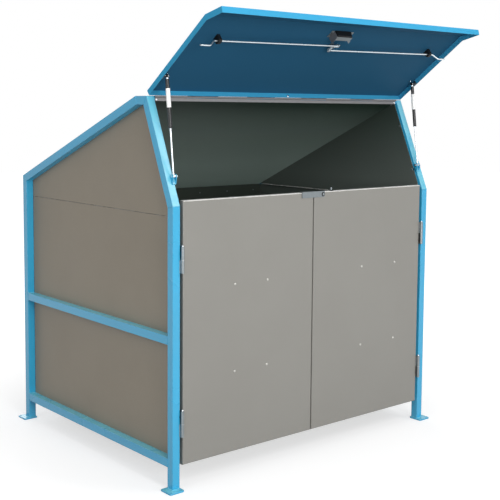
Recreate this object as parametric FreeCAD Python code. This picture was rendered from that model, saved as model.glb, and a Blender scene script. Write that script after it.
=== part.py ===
import FreeCAD, Part
import os
from math import asin, atan2, cos, degrees, hypot, radians, sin

# Wheelie bin store: two welded tube side frames, sheet walls and roof, two front doors
# and a lid over the raked opening, held up by gas struts and shut by two lock rods.
# Millimetres. X is the width, Y runs from the front to the back, Z is up.
# The origin is on the ground in the middle of the four anchor holes.

# Side frames
store_width = 1750.0
store_depth = 1430.0
front_height = 1321.0
rake_run = 208.0
ridge_height = 1817.0
ridge_flat = 92.0
rear_above_front = 61.0
tube_size = 40.0
tube_wall = 2.0
bottom_rail_height = 107.0
mid_rail_height = 683.0

# Foot plates
plate_size = 80.0
plate_out_side = 14.0
plate_out_end = 11.0
plate_thickness = 8.0
plate_corner = 5.0
anchor_radius = 5.0
anchor_edge = 11.0

# Cross members
ridge_rail_depth = 40.0
ridge_rail_height = 20.0

# Sheet walls and roof
sheet = 1.5
seam_below_front = 54.0
seam_gap = 2.0
seam_flange = 16.0
wall_bottom = 117.0
wall_inset = 32.0
gable_inset = 16.0
panel_gap = 0.5
roof_side_flange = 30.0
roof_overhang = 12.0
roof_drip = 18.0

# Doors
door_side_gap = 18.0
door_centre_gap = 6.0
door_bottom = 115.0
door_above_front = 24.0
door_depth = 28.0
door_sheet = 1.5
door_fold = 5.0
rib_width = 44.0
rib_depth = 15.0
rib_flange = 14.0
rib_margin = 70.0
left_rib_shares = (0.372, 0.623)
right_rib_shares = (0.436, 0.7555)
rivet_shares = (0.32, 0.6634)
rivet_radius = 5.5
rivet_top_radius = 3.5
rivet_rise = 2.5

# Door hinges
hinge_length = 122.0
low_hinge_up = 137.0
high_hinge_down = 208.0
knuckle_radius = 8.0
hinge_pin_radius = 4.0
hinge_pin_head = 2.0
hinge_proud = 9.0
hinge_leaf = 3.0
hinge_leaf_depth = 24.0
running_gap = 0.05
knuckle_gap = 0.6

# Door latch
latch_left = 85.0
latch_right = 73.0
latch_pivot = 61.0
latch_drop = 27.0
latch_steel = 3.0
latch_stand_off = 1.5
latch_lift = 0.6
latch_leg_depth = 22.0
latch_leg_end = 14.0
latch_pin_radius = 4.0
latch_head_radius = 8.0
latch_head = 2.5
latch_head_gap = 0.4
stop_from_pivot = 70.0
stop_rise = 19.4
stop_head_radius = 6.0
stop_head_bevel = 22.5
stop_shank_radius = 4.0
latch_rest_gap = 0.5

# Lid
lid_side_gap = 10.0
lip_length = 118.0
lid_depth = 29.0
lid_fold = 4.0
lid_rise = 36.1

# Lid hinge, one continuous hinge along the ridge
lid_hinge_end_gap = 7.0
lid_knuckle_radius = 4.5
lid_pin_radius = 2.5
lid_hinge_leaf = 2.0
lid_hinge_set_off = 5.0
lid_hinge_depth = 32.0
lid_hinge_drop = 3.0
lid_leaf_width = 20.0
lid_knuckles = 9
lid_knuckle_gap = 0.2
lid_notch_gap = 1.0
lid_pin_head_radius = 4.5
lid_pin_head = 3.0

# Gas struts
strut_inset = 35.0
strut_span = 260.8
strut_off_middle = 0.5
strut_foot_out = 12.5
strut_head_depth = 20.5
strut_tube_radius = 9.0
strut_bore_radius = 7.5
strut_rod_radius = 4.0
strut_piston_radius = 7.3
strut_piston = 6.0
strut_eye_radius = 7.5
strut_eye_width = 14.0
strut_eye_pin = 4.0
strut_head_fitting = 14.0
strut_nut = 3.0
strut_nut_radius = 6.0
strut_neck_radius = 5.0
strut_foot_gap = 1.5
strut_end_cap = 3.0
sleeve_radius = 10.0
sleeve_start = 58.0
sleeve_length = 86.0
clevis_gap = 16.0
clevis_steel = 3.0
clevis_above = 8.0
clevis_below = 36.0
clevis_rise = 22.0
clevis_pin_reach = 10.0
clevis_pin_head = 2.0
stud_side_gap = 1.0
stud_plate = 26.0
stud_collar_radius = 7.0

# Lock in the lid
cam_from_bend = 135.0
cam_radius = 21.0
cam_turn = 90.0
cam_width = 18.0
cam_steel = 3.0
cam_depth = 18.0
cam_corner = 4.5
cam_pin_radius = 3.0
cam_pin_head = 2.0
cam_pin_gap = 1.0
plug_radius = 6.0
plug_end = 2.0
barrel_radius = 11.0
barrel_rim_radius = 14.0
barrel_rim = 4.0
key_slot = 2.0
key_slot_length = 8.4
rod_radius = 4.0
rod_depth = 26.0
rod_eye_width = 20.0
rod_eye_thickness = 4.0
rod_eye_slack = 0.4
rod_eye_lap = 2.0
rod_bend_radius = 16.0
rod_tip_gap = 6.0
rod_tip_run = 54.0
rod_jog_run = 33.0
rod_hole_radius = 6.5
guide_from_jog = 27.0
guide_width = 16.0
guide_height = 32.0
guide_below_rod = 12.0
guide_bevel = 7.0
guide_gap = 0.8
case_width = 105.0
case_from_bend = 76.0
case_length = 41.0
case_depth = 28.0
case_wall = 3.0
case_draft = 4.0
case_bezel = 9.0
case_bezel_rise = 3.0
strap_width = 25.0
strap_up = 4.0
strap_steel = 2.0
strap_side_gap = 1.0
strap_foot = 18.0
strap_foot_width = 46.0
strap_ear_start = 40.0
strap_ear_width = 22.0
strap_ear_length = 18.0

# Derived places
rear_height = front_height + rear_above_front
seam_height = front_height - seam_below_front
half_width = store_width / 2
inner_half = half_width - tube_size
front = -store_depth / 2
rear = store_depth / 2
rake_rise = ridge_height - front_height
rake_length = hypot(rake_run, rake_rise)
rake_way = (rake_run / rake_length, rake_rise / rake_length)
rake_out = (-rake_way[1], rake_way[0])
ridge_front = front + rake_run
ridge_rail_front = ridge_front + panel_gap
lip_angle = atan2(rake_run, rake_rise)
lid_swing = lid_rise + degrees(atan2(rake_rise, rake_run))
lid_half = half_width - lid_side_gap
lid_length = rake_length
lid_axis = (ridge_rail_front - lid_hinge_set_off, ridge_height - lid_hinge_drop)
lid_hinge_half_length = inner_half - lid_hinge_end_gap
door_edge = inner_half - door_side_gap
door_axis_x = inner_half - door_side_gap / 2
door_axis_y = front - hinge_proud
door_top = front_height + door_above_front
door_inner = door_centre_gap / 2
hinge_heights = (door_bottom + low_hinge_up, door_top - high_hinge_down - hinge_length)
latch_bottom = door_top - latch_drop
stop_place = latch_pivot + stop_from_pivot
strut_x = half_width - strut_inset
strut_foot_up = (rake_length - strut_span) / 2 + strut_off_middle
strut_head_along = (rake_length - strut_span) / 2 - strut_off_middle
rod_side = cam_radius * cos(radians(cam_turn / 2))
rod_travel = 2 * rod_side
cam_along = lid_length - cam_from_bend
case_along_near = lid_length - case_from_bend
rod_bend_in = inner_half - rod_tip_gap - rod_tip_run
rod_bend_out = rod_bend_in - rod_jog_run
guide_place = rod_bend_out - guide_from_jog


def V(x, y, z):
    return FreeCAD.Vector(x, y, z)


def block(x0, x1, y0, y1, z0, z1):
    return Part.makeBox(x1 - x0, y1 - y0, z1 - z0, V(x0, y0, z0))


def profile(points, x0, x1):
    """A (y, z) outline carried from x0 to x1."""
    corners = [V(x0, y, z) for y, z in points]
    wire = Part.makePolygon(corners + corners[:1])
    return Part.Face(wire).extrude(V(x1 - x0, 0, 0))


def rod_along_x(radius, x0, x1, y, z):
    return Part.makeCylinder(radius, x1 - x0, V(x0, y, z), V(1, 0, 0))


def turned(outline, place):
    """A piece turned on an upright axis, from its (radius, height) outline."""
    corners = [V(radius, 0, height) for radius, height in outline]
    face = Part.Face(Part.makePolygon(corners + corners[:1]))
    solid = face.revolve(V(0, 0, 0), V(0, 0, 1), 360)
    solid.translate(place)
    return solid


def hexagon(radius, height, place):
    """A six-sided nut standing on a place."""
    corners = [place + V(radius * cos(radians(60 * i)), radius * sin(radians(60 * i)), 0) for i in range(7)]
    return Part.Face(Part.makePolygon(corners)).extrude(V(0, 0, height))


def cut_corners(plate, size):
    """A plate whose upright corners are cut off."""
    upright = [e for e in plate.Edges if abs(e.tangentAt(e.FirstParameter).z) > 0.9]
    return plate.makeChamfer(size, upright)


def join(pieces):
    whole = pieces[0]
    for piece in pieces[1:]:
        whole = whole.fuse(piece)
    return whole.removeSplitter()


def both_sides(piece):
    """The piece on the left and its mirror image on the right."""
    return [piece, piece.mirror(V(0, 0, 0), V(1, 0, 0))]


def inset(path, distance):
    """A (y, z) path moved to its right-hand side, with mitred corners and square ends."""
    lines = []
    for (y0, z0), (y1, z1) in zip(path, path[1:]):
        length = hypot(y1 - y0, z1 - z0)
        way = ((y1 - y0) / length, (z1 - z0) / length)
        side = (way[1] * distance, -way[0] * distance)
        lines.append(((y0 + side[0], z0 + side[1]), (y1 + side[0], z1 + side[1]), way))
    points = [lines[0][0]]
    for (start, _, way), (other, _, turn) in zip(lines, lines[1:]):
        cross = way[0] * turn[1] - way[1] * turn[0]
        reach = ((other[0] - start[0]) * turn[1] - (other[1] - start[1]) * turn[0]) / cross
        points.append((start[0] + way[0] * reach, start[1] + way[1] * reach))
    points.append(lines[-1][1])
    return points


def bar_between(path, near, far, index):
    """One straight stretch of a band that lies between two insets of a path."""
    outer = inset(path, near)
    inner = inset(path, far)
    return [outer[index], outer[index + 1], inner[index + 1], inner[index]]


def box_tube(low, high, axis):
    """A square or rectangular tube from one corner to the other, open at its two ends."""
    outer = block(low[0], high[0], low[1], high[1], low[2], high[2])
    low_in = [v + tube_wall for v in low]
    high_in = [v - tube_wall for v in high]
    low_in[axis] = low[axis]
    high_in[axis] = high[axis]
    return outer.cut(block(low_in[0], high_in[0], low_in[1], high_in[1], low_in[2], high_in[2]))


def rake_point(up, out):
    """A (y, z) place on the raked tubes: up from the bend and out of their front face."""
    return (
        front + rake_way[0] * up + rake_out[0] * out,
        front_height + rake_way[1] * up + rake_out[1] * out,
    )


def lid_turn(swing):
    """The lid's place after it has closed by an angle. At rest it stands open."""
    turn = FreeCAD.Rotation(V(1, 0, 0), swing - lid_rise)
    axis = V(0, lid_axis[0], lid_axis[1])
    moved = axis - turn.multVec(V(0, lid_hinge_set_off, -lid_hinge_depth))
    return FreeCAD.Placement(moved, turn)


def on_lid(piece):
    """The lid's pieces are drawn flat: -Y is away from the hinge, and -Z is its underside."""
    return piece.transformed(lid_turn(0).toMatrix(), True)


def lid_point(x, along, depth, swing=0):
    return lid_turn(swing).multVec(V(x, -along, -depth))


def side_path():
    return [
        (front, plate_thickness),
        (front, front_height),
        (ridge_front, ridge_height),
        (ridge_front + ridge_flat, ridge_height),
        (rear, rear_height),
        (rear, plate_thickness),
    ]


def frame_tube(index):
    """One mitred tube of the left side frame."""
    path = side_path()
    solid = profile(bar_between(path, 0, tube_size, index), -half_width, -inner_half)
    hollow = profile(
        bar_between(path, tube_wall, tube_size - tube_wall, index),
        -half_width + tube_wall,
        -inner_half - tube_wall,
    )
    return solid.cut(hollow)


def rod_hole():
    """The hole in the raked tube's inner wall that the lock rod enters when the lid is shut."""
    place = lid_point(-inner_half, cam_along, rod_tip_depth(), lid_swing)
    return rod_along_x(rod_hole_radius, place.x - tube_wall * 2, place.x + tube_wall, place.y, place.z)


def rod_tip_depth():
    """How far under the lid's sheet the rod's tip runs, to meet the middle of the raked tube."""
    foot = V(0, *rake_point(0, 0))
    normal = V(0, *rake_out)
    sheet_gap = (lid_point(0, 0, 0, lid_swing) - foot).dot(normal)
    return sheet_gap + tube_size / 2


def side_rail(height):
    return box_tube(
        [-half_width, front + tube_size, height],
        [-inner_half, rear - tube_size, height + tube_size],
        1,
    )


def rear_rail(height):
    return box_tube(
        [-inner_half, rear - tube_size, height],
        [inner_half, rear, height + tube_size],
        0,
    )


def foot_plate(x, y):
    low = (x - plate_size / 2, y - plate_size / 2)
    plate = block(low[0], low[0] + plate_size, low[1], low[1] + plate_size, 0, plate_thickness)
    plate = cut_corners(plate, plate_corner)
    reach = plate_size / 2 - anchor_edge
    hole_x = x + (reach if x > 0 else -reach)
    hole_y = y + (reach if y > 0 else -reach)
    return plate.cut(Part.makeCylinder(anchor_radius, plate_thickness, V(hole_x, hole_y, 0)))


def foot_plates():
    x = half_width - tube_size / 2 + plate_out_side
    y = rear - tube_size / 2 + plate_out_end
    return [foot_plate(side * x, end * y) for side in (-1, 1) for end in (-1, 1)]


def roof_line():
    """The roof sheet's underside: under the ridge rail, down over the rear wall, and a drip edge."""
    slope_start = ridge_rail_front + ridge_rail_depth / 2
    under_rail = ridge_height - ridge_rail_height - sheet
    wall_y = rear - tube_size
    fall = (under_rail - seam_height) / (wall_y - slope_start)
    end = rear + roof_overhang
    eave = seam_height - fall * (end - wall_y)
    return [(ridge_rail_front, under_rail), (slope_start, under_rail), (end, eave), (end, eave - roof_drip)]


def roof_height(y):
    """The height of the roof sheet's underside at a place behind the ridge rail."""
    _, (y0, z0), (y1, z1), _ = roof_line()
    return z0 + (z1 - z0) * (y - y0) / (y1 - y0)


def roof_panel():
    half = inner_half - sheet - panel_gap
    line = roof_line()
    pan = profile(line + inset(line, -sheet)[::-1], -half, half)
    start = (ridge_rail_front + ridge_rail_depth + panel_gap, roof_height(ridge_rail_front + ridge_rail_depth))
    edge = [start, (rear - tube_size, seam_height)]
    rail_side = profile(edge + inset(edge, -roof_side_flange)[::-1], -half, -half + sheet)
    return join([pan] + both_sides(rail_side))


def ridge_rail():
    return box_tube(
        [-inner_half, ridge_rail_front, ridge_height - ridge_rail_height],
        [inner_half, ridge_rail_front + ridge_rail_depth, ridge_height],
        0,
    )


def wall_panel():
    """The left wall below the seam, with its top edge folded inwards."""
    outer = -inner_half
    plate = block(outer, outer + sheet, front + wall_inset, rear - tube_size - sheet - panel_gap,
                  wall_bottom, seam_height - seam_gap / 2)
    top = seam_height - seam_gap / 2
    flange = block(outer, outer + seam_flange, front + wall_inset, rear - tube_size - seam_flange * 2,
                   top - sheet, top)
    return join([plate, flange])


def gable_panel():
    """The left wall above the seam, behind the raked, ridge and roof tubes."""
    low = seam_height + seam_gap / 2
    edge = inset(side_path()[1:5], gable_inset)
    back = rear - tube_size - sheet - panel_gap
    top = edge[2][1] + (edge[3][1] - edge[2][1]) * (back - edge[2][0]) / (edge[3][0] - edge[2][0])
    outline = [
        (front + wall_inset, low),
        (front + wall_inset, edge[0][1]),
        edge[0],
        edge[1],
        edge[2],
        (back, top),
        (back, low),
    ]
    if front + wall_inset > edge[0][0]:
        rise = (front + wall_inset - edge[0][0]) * rake_way[1] / rake_way[0]
        outline[1:3] = [(front + wall_inset, edge[0][1] + rise)]
    plate = profile(outline, -inner_half, -inner_half + sheet)
    flange = block(-inner_half, -inner_half + seam_flange, front + wall_inset,
                   rear - tube_size - seam_flange * 2, low, low + sheet)
    rail = block(-inner_half, inner_half, front, ridge_rail_front + ridge_rail_depth + panel_gap,
                 ridge_height - ridge_rail_height - sheet - panel_gap, ridge_height)
    panel = join([plate, flange]).cut(rail)
    place = lid_point(-inner_half, cam_along, rod_tip_depth(), lid_swing)
    return panel.cut(rod_along_x(rod_hole_radius, -inner_half, -inner_half + sheet * 2, place.y, place.z))


def back_panel():
    half = inner_half - sheet - panel_gap
    return block(-half, half, rear - tube_size - sheet, rear - tube_size, wall_bottom, seam_height - seam_gap)


def tray(x0, x1, z0, z1):
    """A door's folded skin: a front sheet with its four edges turned back."""
    def body(shrink, back):
        solid = block(x0 + shrink, x1 - shrink, front + shrink, back, z0 + shrink, z1 - shrink)
        edges = [e for e in solid.Edges if all(abs(v.Y - front - shrink) < 0.01 for v in e.Vertexes)]
        return solid.makeFillet(door_fold - shrink, edges)
    return body(0, front + door_depth).cut(body(door_sheet, front + door_depth + 1))


def door_rib(x):
    """An upright top-hat rib behind the door skin."""
    y0 = front + door_sheet
    z0 = door_bottom + rib_margin
    z1 = door_top - rib_margin
    hat = block(x - rib_width / 2, x + rib_width / 2, y0, y0 + rib_depth, z0, z1)
    wide = rib_width / 2 - rib_flange
    hollow = block(x - wide + sheet, x + wide - sheet, y0, y0 + rib_depth - sheet, z0, z1)
    left = block(x - rib_width / 2, x - wide, y0 + sheet, y0 + rib_depth, z0, z1)
    right = block(x + wide, x + rib_width / 2, y0 + sheet, y0 + rib_depth, z0, z1)
    return hat.cut(hollow).cut(left).cut(right)


def rib_places(shares):
    return [door_inner + (door_edge - door_inner) * share for share in shares]


def rivet_head(x, z):
    """A low tapered head that sits on the door skin."""
    return Part.makeCone(rivet_radius, rivet_top_radius, rivet_rise, V(x, front, z), V(0, -1, 0))


def rivets(side, shares):
    """The rivets that hold the ribs: one through each rib at each height."""
    heights = [door_bottom + (door_top - door_bottom) * share for share in rivet_shares]
    return [rivet_head(side * x, z) for x in rib_places(shares) for z in heights]


def knuckle(x, y, z0, z1):
    tube = Part.makeCylinder(knuckle_radius, z1 - z0, V(x, y, z0))
    return tube.cut(Part.makeCylinder(hinge_pin_radius + running_gap, z1 - z0, V(x, y, z0)))


def post_leaf(z):
    """The fixed half of a left door hinge: the lower knuckle and its leaf on the post."""
    top = z + hinge_length / 2
    leaf = block(-inner_half, -inner_half + hinge_leaf, door_axis_y, front + hinge_leaf_depth, z, top)
    bore = Part.makeCylinder(hinge_pin_radius + running_gap, top - z, V(-door_axis_x, door_axis_y, z))
    return join([knuckle(-door_axis_x, door_axis_y, z, top), leaf]).cut(bore)


def door_leaf(z):
    """The moving half: the upper knuckle and its leaf on the door's turned edge."""
    low = z + hinge_length / 2 + knuckle_gap
    top = z + hinge_length
    leaf = block(-door_edge - hinge_leaf, -door_edge, door_axis_y, front + hinge_leaf_depth, low, top)
    bore = Part.makeCylinder(hinge_pin_radius + running_gap, top - low, V(-door_axis_x, door_axis_y, low))
    return join([knuckle(-door_axis_x, door_axis_y, low, top), leaf]).cut(bore)


def hinge_pin(z):
    """The pin stands in the lower knuckle and shows its tapered end above the upper one."""
    shank = hinge_length + knuckle_gap
    outline = [(0, 0), (hinge_pin_radius, 0), (hinge_pin_radius, shank),
               (hinge_pin_radius / 2, shank + hinge_pin_head), (0, shank + hinge_pin_head)]
    return turned(outline, V(-door_axis_x, door_axis_y, z))


def latch_pivot_height():
    return (latch_bottom + door_top + latch_lift) / 2


def latch_bar():
    """An angle bar across both doors: an upright leg in front and a leg over their tops."""
    back = front - latch_stand_off
    under = door_top + latch_lift
    upright = block(-latch_left, latch_right, back - latch_steel, back, latch_bottom, under + latch_steel)
    over = block(-latch_left, latch_leg_end, back - latch_steel, front + latch_leg_depth,
                 under, under + latch_steel)
    hole = Part.makeCylinder(latch_pin_radius + running_gap, latch_steel,
                             V(latch_pivot, back, latch_pivot_height()), V(0, -1, 0))
    corner = [e for e in upright.Edges if abs(e.tangentAt(e.FirstParameter).y) > 0.9 and e.CenterOfMass.x > 0]
    return join([upright.makeChamfer(latch_steel * 2, corner), over]).cut(hole)


def latch_rivet():
    """The shouldered rivet in the right door that the latch bar turns on."""
    shank = latch_stand_off + latch_steel + latch_head_gap
    outline = [(0, 0), (latch_pin_radius, 0), (latch_pin_radius, shank), (latch_head_radius, shank),
               (latch_head_radius - latch_head / 2, shank + latch_head), (0, shank + latch_head)]
    rivet = turned(outline, V(0, 0, 0))
    rivet.rotate(V(0, 0, 0), V(1, 0, 0), 90)
    rivet.translate(V(latch_pivot, front, latch_pivot_height()))
    return rivet


def latch_stop():
    """The peg with a bevelled knob on the right door's top that the opened latch leans on."""
    middle = stop_rise - stop_head_radius
    wide = stop_head_radius * cos(radians(stop_head_bevel))
    small = stop_head_radius * sin(radians(stop_head_bevel))
    outline = [(0, 0), (stop_shank_radius, 0), (stop_shank_radius, middle - small),
               (wide, middle - small), (wide, middle + small), (small, middle + wide), (0, middle + wide)]
    return turned(outline, V(stop_place, front + latch_leg_depth / 2, door_top))


def latch_swing():
    """How far the latch lifts over before its leg meets the peg's head."""
    dx = stop_place - latch_pivot
    dz = door_top + stop_rise - stop_head_radius - latch_pivot_height()
    leg_face = door_top + latch_lift + latch_steel - latch_pivot_height()
    lean = asin((leg_face + stop_head_radius + latch_rest_gap) / hypot(dx, dz))
    return 180 - degrees(atan2(dz, dx) + lean)


def lid_path():
    """The lid's outer face in the (y, z) plane of the flat drawing, from the lip's end to the hinge."""
    bend = (-lid_length, 0)
    tip = (bend[0] - lip_length * cos(lip_angle), -lip_length * sin(lip_angle))
    return [tip, bend, (0, 0)]


def lid_body(shrink, depth):
    """A block with the lid's bent outline, smaller by the sheet's thickness when it is the hollow."""
    tip, bend, hinge = lid_path()
    tip = (tip[0] + shrink * cos(lip_angle), tip[1] + shrink * sin(lip_angle))
    path = [tip, bend, (hinge[0] - shrink, hinge[1])]
    top = inset(path, shrink)
    solid = profile(top + inset(path, depth)[::-1], -lid_half + shrink, lid_half - shrink)
    edges = []
    for edge in solid.Edges:
        middle = edge.CenterOfMass
        on_main = abs(middle.z + shrink) < 0.01
        lip_z = (middle.y - top[1][0]) * sin(lip_angle) / cos(lip_angle) + top[1][1]
        on_lip = middle.y < top[1][0] - 0.01 and abs(middle.z - lip_z) < 0.01
        if on_main or on_lip:
            edges.append(edge)
    return solid.makeFillet(lid_fold - shrink, edges)


def case_cut(grow):
    """The lock case's way through the lid sheet."""
    return block(-case_width / 2 - grow, case_width / 2 + grow,
                 -case_along_near - case_length - grow, -case_along_near + grow,
                 -sheet * 2, sheet)


def lid_panel():
    shell = lid_body(0, lid_depth).cut(lid_body(sheet, lid_depth + 1))
    barrel = Part.makeCylinder(barrel_radius + panel_gap, sheet * 3, V(0, -cam_along, -sheet * 2))
    return on_lid(shell.cut(barrel).cut(case_cut(panel_gap)))


def lid_knuckle_spans(turn):
    """The stretches of the continuous hinge whose knuckles belong to one leaf."""
    pitch = lid_hinge_half_length * 2 / lid_knuckles
    start = -lid_hinge_half_length
    gap = lid_knuckle_gap
    return [(start + i * pitch + gap, start + (i + 1) * pitch - gap)
            for i in range(lid_knuckles) if i % 2 == turn]


def lid_hinge_half(y, z, turn, leaf_low, leaf_high, leaf_y):
    """Knuckles around an axis and a leaf that is notched beside the other leaf's knuckles."""
    half = lid_hinge_half_length
    leaf = block(-half, half, leaf_y, leaf_y + lid_hinge_leaf, leaf_low, leaf_high)
    notch = lid_knuckle_radius + lid_notch_gap
    for x0, x1 in lid_knuckle_spans(1 - turn):
        room = block(x0 - panel_gap, x1 + panel_gap, leaf_y, leaf_y + lid_hinge_leaf, z - notch, z + notch)
        leaf = leaf.cut(room)
    pieces = [leaf] + [rod_along_x(lid_knuckle_radius, x0, x1, y, z) for x0, x1 in lid_knuckle_spans(turn)]
    return join(pieces).cut(rod_along_x(lid_pin_radius + running_gap, -half, half, y, z))


def lid_fixed_leaf():
    y, z = lid_axis
    return lid_hinge_half(y, z, 0, z - lid_leaf_width, z, ridge_rail_front - lid_hinge_leaf)


def lid_moving_leaf():
    z = -lid_hinge_depth
    top = z + lid_leaf_width + panel_gap
    return on_lid(lid_hinge_half(lid_hinge_set_off, z, 1, z, top, 0))


def lid_pin():
    y, z = lid_axis
    half = lid_hinge_half_length
    pieces = [rod_along_x(lid_pin_radius, -half, half, y, z)]
    pieces += both_sides(rod_along_x(lid_pin_head_radius, -half - lid_pin_head, -half, y, z))
    return join(pieces)


def strut_ends():
    """The strut's foot pin and its head on the open and on the shut lid."""
    foot = V(0, *rake_point(strut_foot_up, strut_foot_out))
    return (
        foot,
        lid_point(0, strut_head_along, strut_head_depth),
        lid_point(0, strut_head_along, strut_head_depth, lid_swing),
    )


def strut_lean(head, foot):
    return degrees(atan2(head.y - foot.y, head.z - foot.z))


def on_strut(piece):
    """The strut's pieces are drawn upright on the foot pin and leant over to its place."""
    foot, head, _ = strut_ends()
    turn = FreeCAD.Rotation(V(1, 0, 0), -strut_lean(head, foot))
    return piece.transformed(FreeCAD.Placement(V(-strut_x, foot.y, foot.z), turn).toMatrix(), True)


def strut_tube_ends():
    """Where the gas tube starts and ends above the foot pin, with the lid open."""
    foot, head, shut = strut_ends()
    start = strut_eye_radius + strut_nut + strut_foot_gap
    length = (shut - foot).Length - strut_head_fitting - start
    top = (head - foot).Length - strut_head_fitting
    return top - length, top


def eye(z, pin):
    ring = rod_along_x(strut_eye_radius, -strut_eye_width / 2, strut_eye_width / 2, 0, z)
    return ring.cut(rod_along_x(pin, -strut_eye_width / 2, strut_eye_width / 2, 0, z))


def strut_rod():
    foot, _, shut = strut_ends()
    reach = (shut - foot).Length - strut_head_fitting - strut_end_cap - strut_foot_gap
    hole = rod_along_x(strut_eye_pin + running_gap, -strut_eye_width / 2, strut_eye_width / 2, 0, 0)
    nut = hexagon(strut_nut_radius, strut_eye_radius + strut_nut, V(0, 0, 0))
    rod = Part.makeCylinder(strut_rod_radius, reach)
    piston = Part.makeCylinder(strut_piston_radius, strut_piston, V(0, 0, reach - strut_piston))
    return on_strut(join([eye(0, strut_eye_pin + running_gap), nut, rod, piston]).cut(hole))


def strut_cylinder():
    """The gas tube with its guide at the bottom and its socket at the top."""
    low, high = strut_tube_ends()
    tube = Part.makeCylinder(strut_tube_radius, high - low, V(0, 0, low))
    bore = Part.makeCylinder(strut_bore_radius, high - low - strut_nut - strut_end_cap, V(0, 0, low + strut_nut))
    guide = Part.makeCylinder(strut_rod_radius + running_gap * 2, strut_nut, V(0, 0, low))
    neck = Part.makeCylinder(strut_neck_radius, strut_head_fitting, V(0, 0, high))
    head_z = high + strut_head_fitting
    socket = rod_along_x(strut_eye_radius, -strut_eye_width / 2, strut_eye_width / 2, 0, head_z)
    return on_strut(join([tube.cut(bore).cut(guide), neck, socket]))


def strut_sleeve():
    _, high = strut_tube_ends()
    top = high + strut_head_fitting - sleeve_start
    sleeve = Part.makeCylinder(sleeve_radius, sleeve_length, V(0, 0, top - sleeve_length))
    bore = Part.makeCylinder(strut_tube_radius + running_gap, sleeve_length, V(0, 0, top - sleeve_length))
    return on_strut(sleeve.cut(bore))


def clevis():
    """The tapered fork on the raked tube that holds the strut's foot pin."""
    up = strut_foot_up + clevis_above
    level = strut_foot_up - clevis_above
    down = strut_foot_up - clevis_below
    cheek = [rake_point(up, 0), rake_point(up, clevis_rise), rake_point(level, clevis_rise),
             rake_point(down, clevis_steel), rake_point(down, 0)]
    half = clevis_gap / 2 + clevis_steel
    fork = profile(cheek, -strut_x - half, -strut_x + half)
    inside = [rake_point(up + 1, clevis_steel), rake_point(up + 1, clevis_rise + 1),
              rake_point(down - 1, clevis_rise + 1), rake_point(down - 1, clevis_steel)]
    foot = V(0, *rake_point(strut_foot_up, strut_foot_out))
    hole = rod_along_x(strut_eye_pin, -strut_x - half, -strut_x + half, foot.y, foot.z)
    return fork.cut(profile(inside, -strut_x - clevis_gap / 2, -strut_x + clevis_gap / 2)).cut(hole)


def clevis_pin():
    foot = V(0, *rake_point(strut_foot_up, strut_foot_out))
    half = clevis_gap / 2 + clevis_steel
    pin = rod_along_x(strut_eye_pin, -strut_x - half, -strut_x + half + clevis_pin_reach, foot.y, foot.z)
    head_end = -strut_x - half - clevis_pin_head
    head = rod_along_x(strut_eye_pin + clevis_pin_head, head_end, -strut_x - half, foot.y, foot.z)
    return join([pin, head])


def strut_stud():
    """The stud on the lid's turned side that the strut's socket sits beside."""
    wall = -lid_half + sheet
    y = -strut_head_along
    z = -strut_head_depth
    tip = -strut_x - strut_eye_width / 2 - stud_side_gap
    plate_top = -sheet - lid_fold
    plate = block(wall, wall + clevis_steel, y - stud_plate / 2, y + stud_plate / 2, -lid_depth, plate_top)
    stud = rod_along_x(strut_eye_pin, wall + clevis_steel, tip, y, z)
    collar = rod_along_x(stud_collar_radius, wall + clevis_steel, wall + clevis_steel * 2, y, z)
    return on_lid(join([plate, stud, collar]))


def lock_case():
    """The moulded pull recess: a tapered cup under the sheet with a rim on its outside."""
    y0 = -case_along_near - case_length
    y1 = -case_along_near

    def cup(shrink, depth):
        half = case_width / 2 - shrink
        reach = case_length / 2 - shrink
        solid = Part.makeWedge(-half, 0, -reach, -reach + case_draft, -half + case_draft,
                               half, depth + case_bezel_rise, reach, reach - case_draft, half - case_draft)
        solid.rotate(V(0, 0, 0), V(1, 0, 0), -90)
        solid.translate(V(0, (y0 + y1) / 2, case_bezel_rise))
        return solid

    rim = block(-case_width / 2 - case_bezel, case_width / 2 + case_bezel, y0 - case_bezel, y1 + case_bezel,
                0, case_bezel_rise)
    solid = join([cup(0, case_depth), cut_corners(rim, case_bezel / 2)])
    return on_lid(solid.cut(cup(case_wall, case_depth - case_wall)))


def lock_strap():
    """The folded steel strap that holds the lock case under the sheet, with an ear beside the lock."""
    half = case_width / 2 + strap_side_gap + strap_steel
    low = -case_depth - panel_gap - strap_steel
    y0 = -case_along_near - strap_up - strap_width
    y1 = y0 + strap_width
    foot_y = (y0 + y1 - strap_foot_width) / 2
    web = block(-half, half, y0, y1, low, low + strap_steel)
    leg = block(-half, -half + strap_steel, y0, y1, low, -sheet)
    foot = block(-half - strap_foot, -half, foot_y, foot_y + strap_foot_width, -sheet - strap_steel, -sheet)
    ear_end = strap_ear_start + strap_ear_width
    ear = Part.Face(Part.makePolygon([V(strap_ear_start, y1, low), V(ear_end, y1, low),
                                      V(ear_end, y1 + strap_ear_length, low), V(strap_ear_start, y1, low)]))
    return on_lid(join([web, ear.extrude(V(0, 0, strap_steel))] + both_sides(leg) + both_sides(foot)))


def lock_barrel():
    """The lock's fixed housing through the lid sheet."""
    low = -cam_depth + panel_gap
    body = Part.makeCylinder(barrel_radius, -low, V(0, -cam_along, low))
    rim = Part.makeCylinder(barrel_rim_radius, barrel_rim, V(0, -cam_along, 0))
    nut = hexagon(barrel_rim_radius, barrel_rim, V(0, -cam_along, -sheet - barrel_rim))
    bore = Part.makeCylinder(plug_radius + running_gap, barrel_rim - low, V(0, -cam_along, low))
    return on_lid(join([body, rim, nut]).cut(bore))


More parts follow.
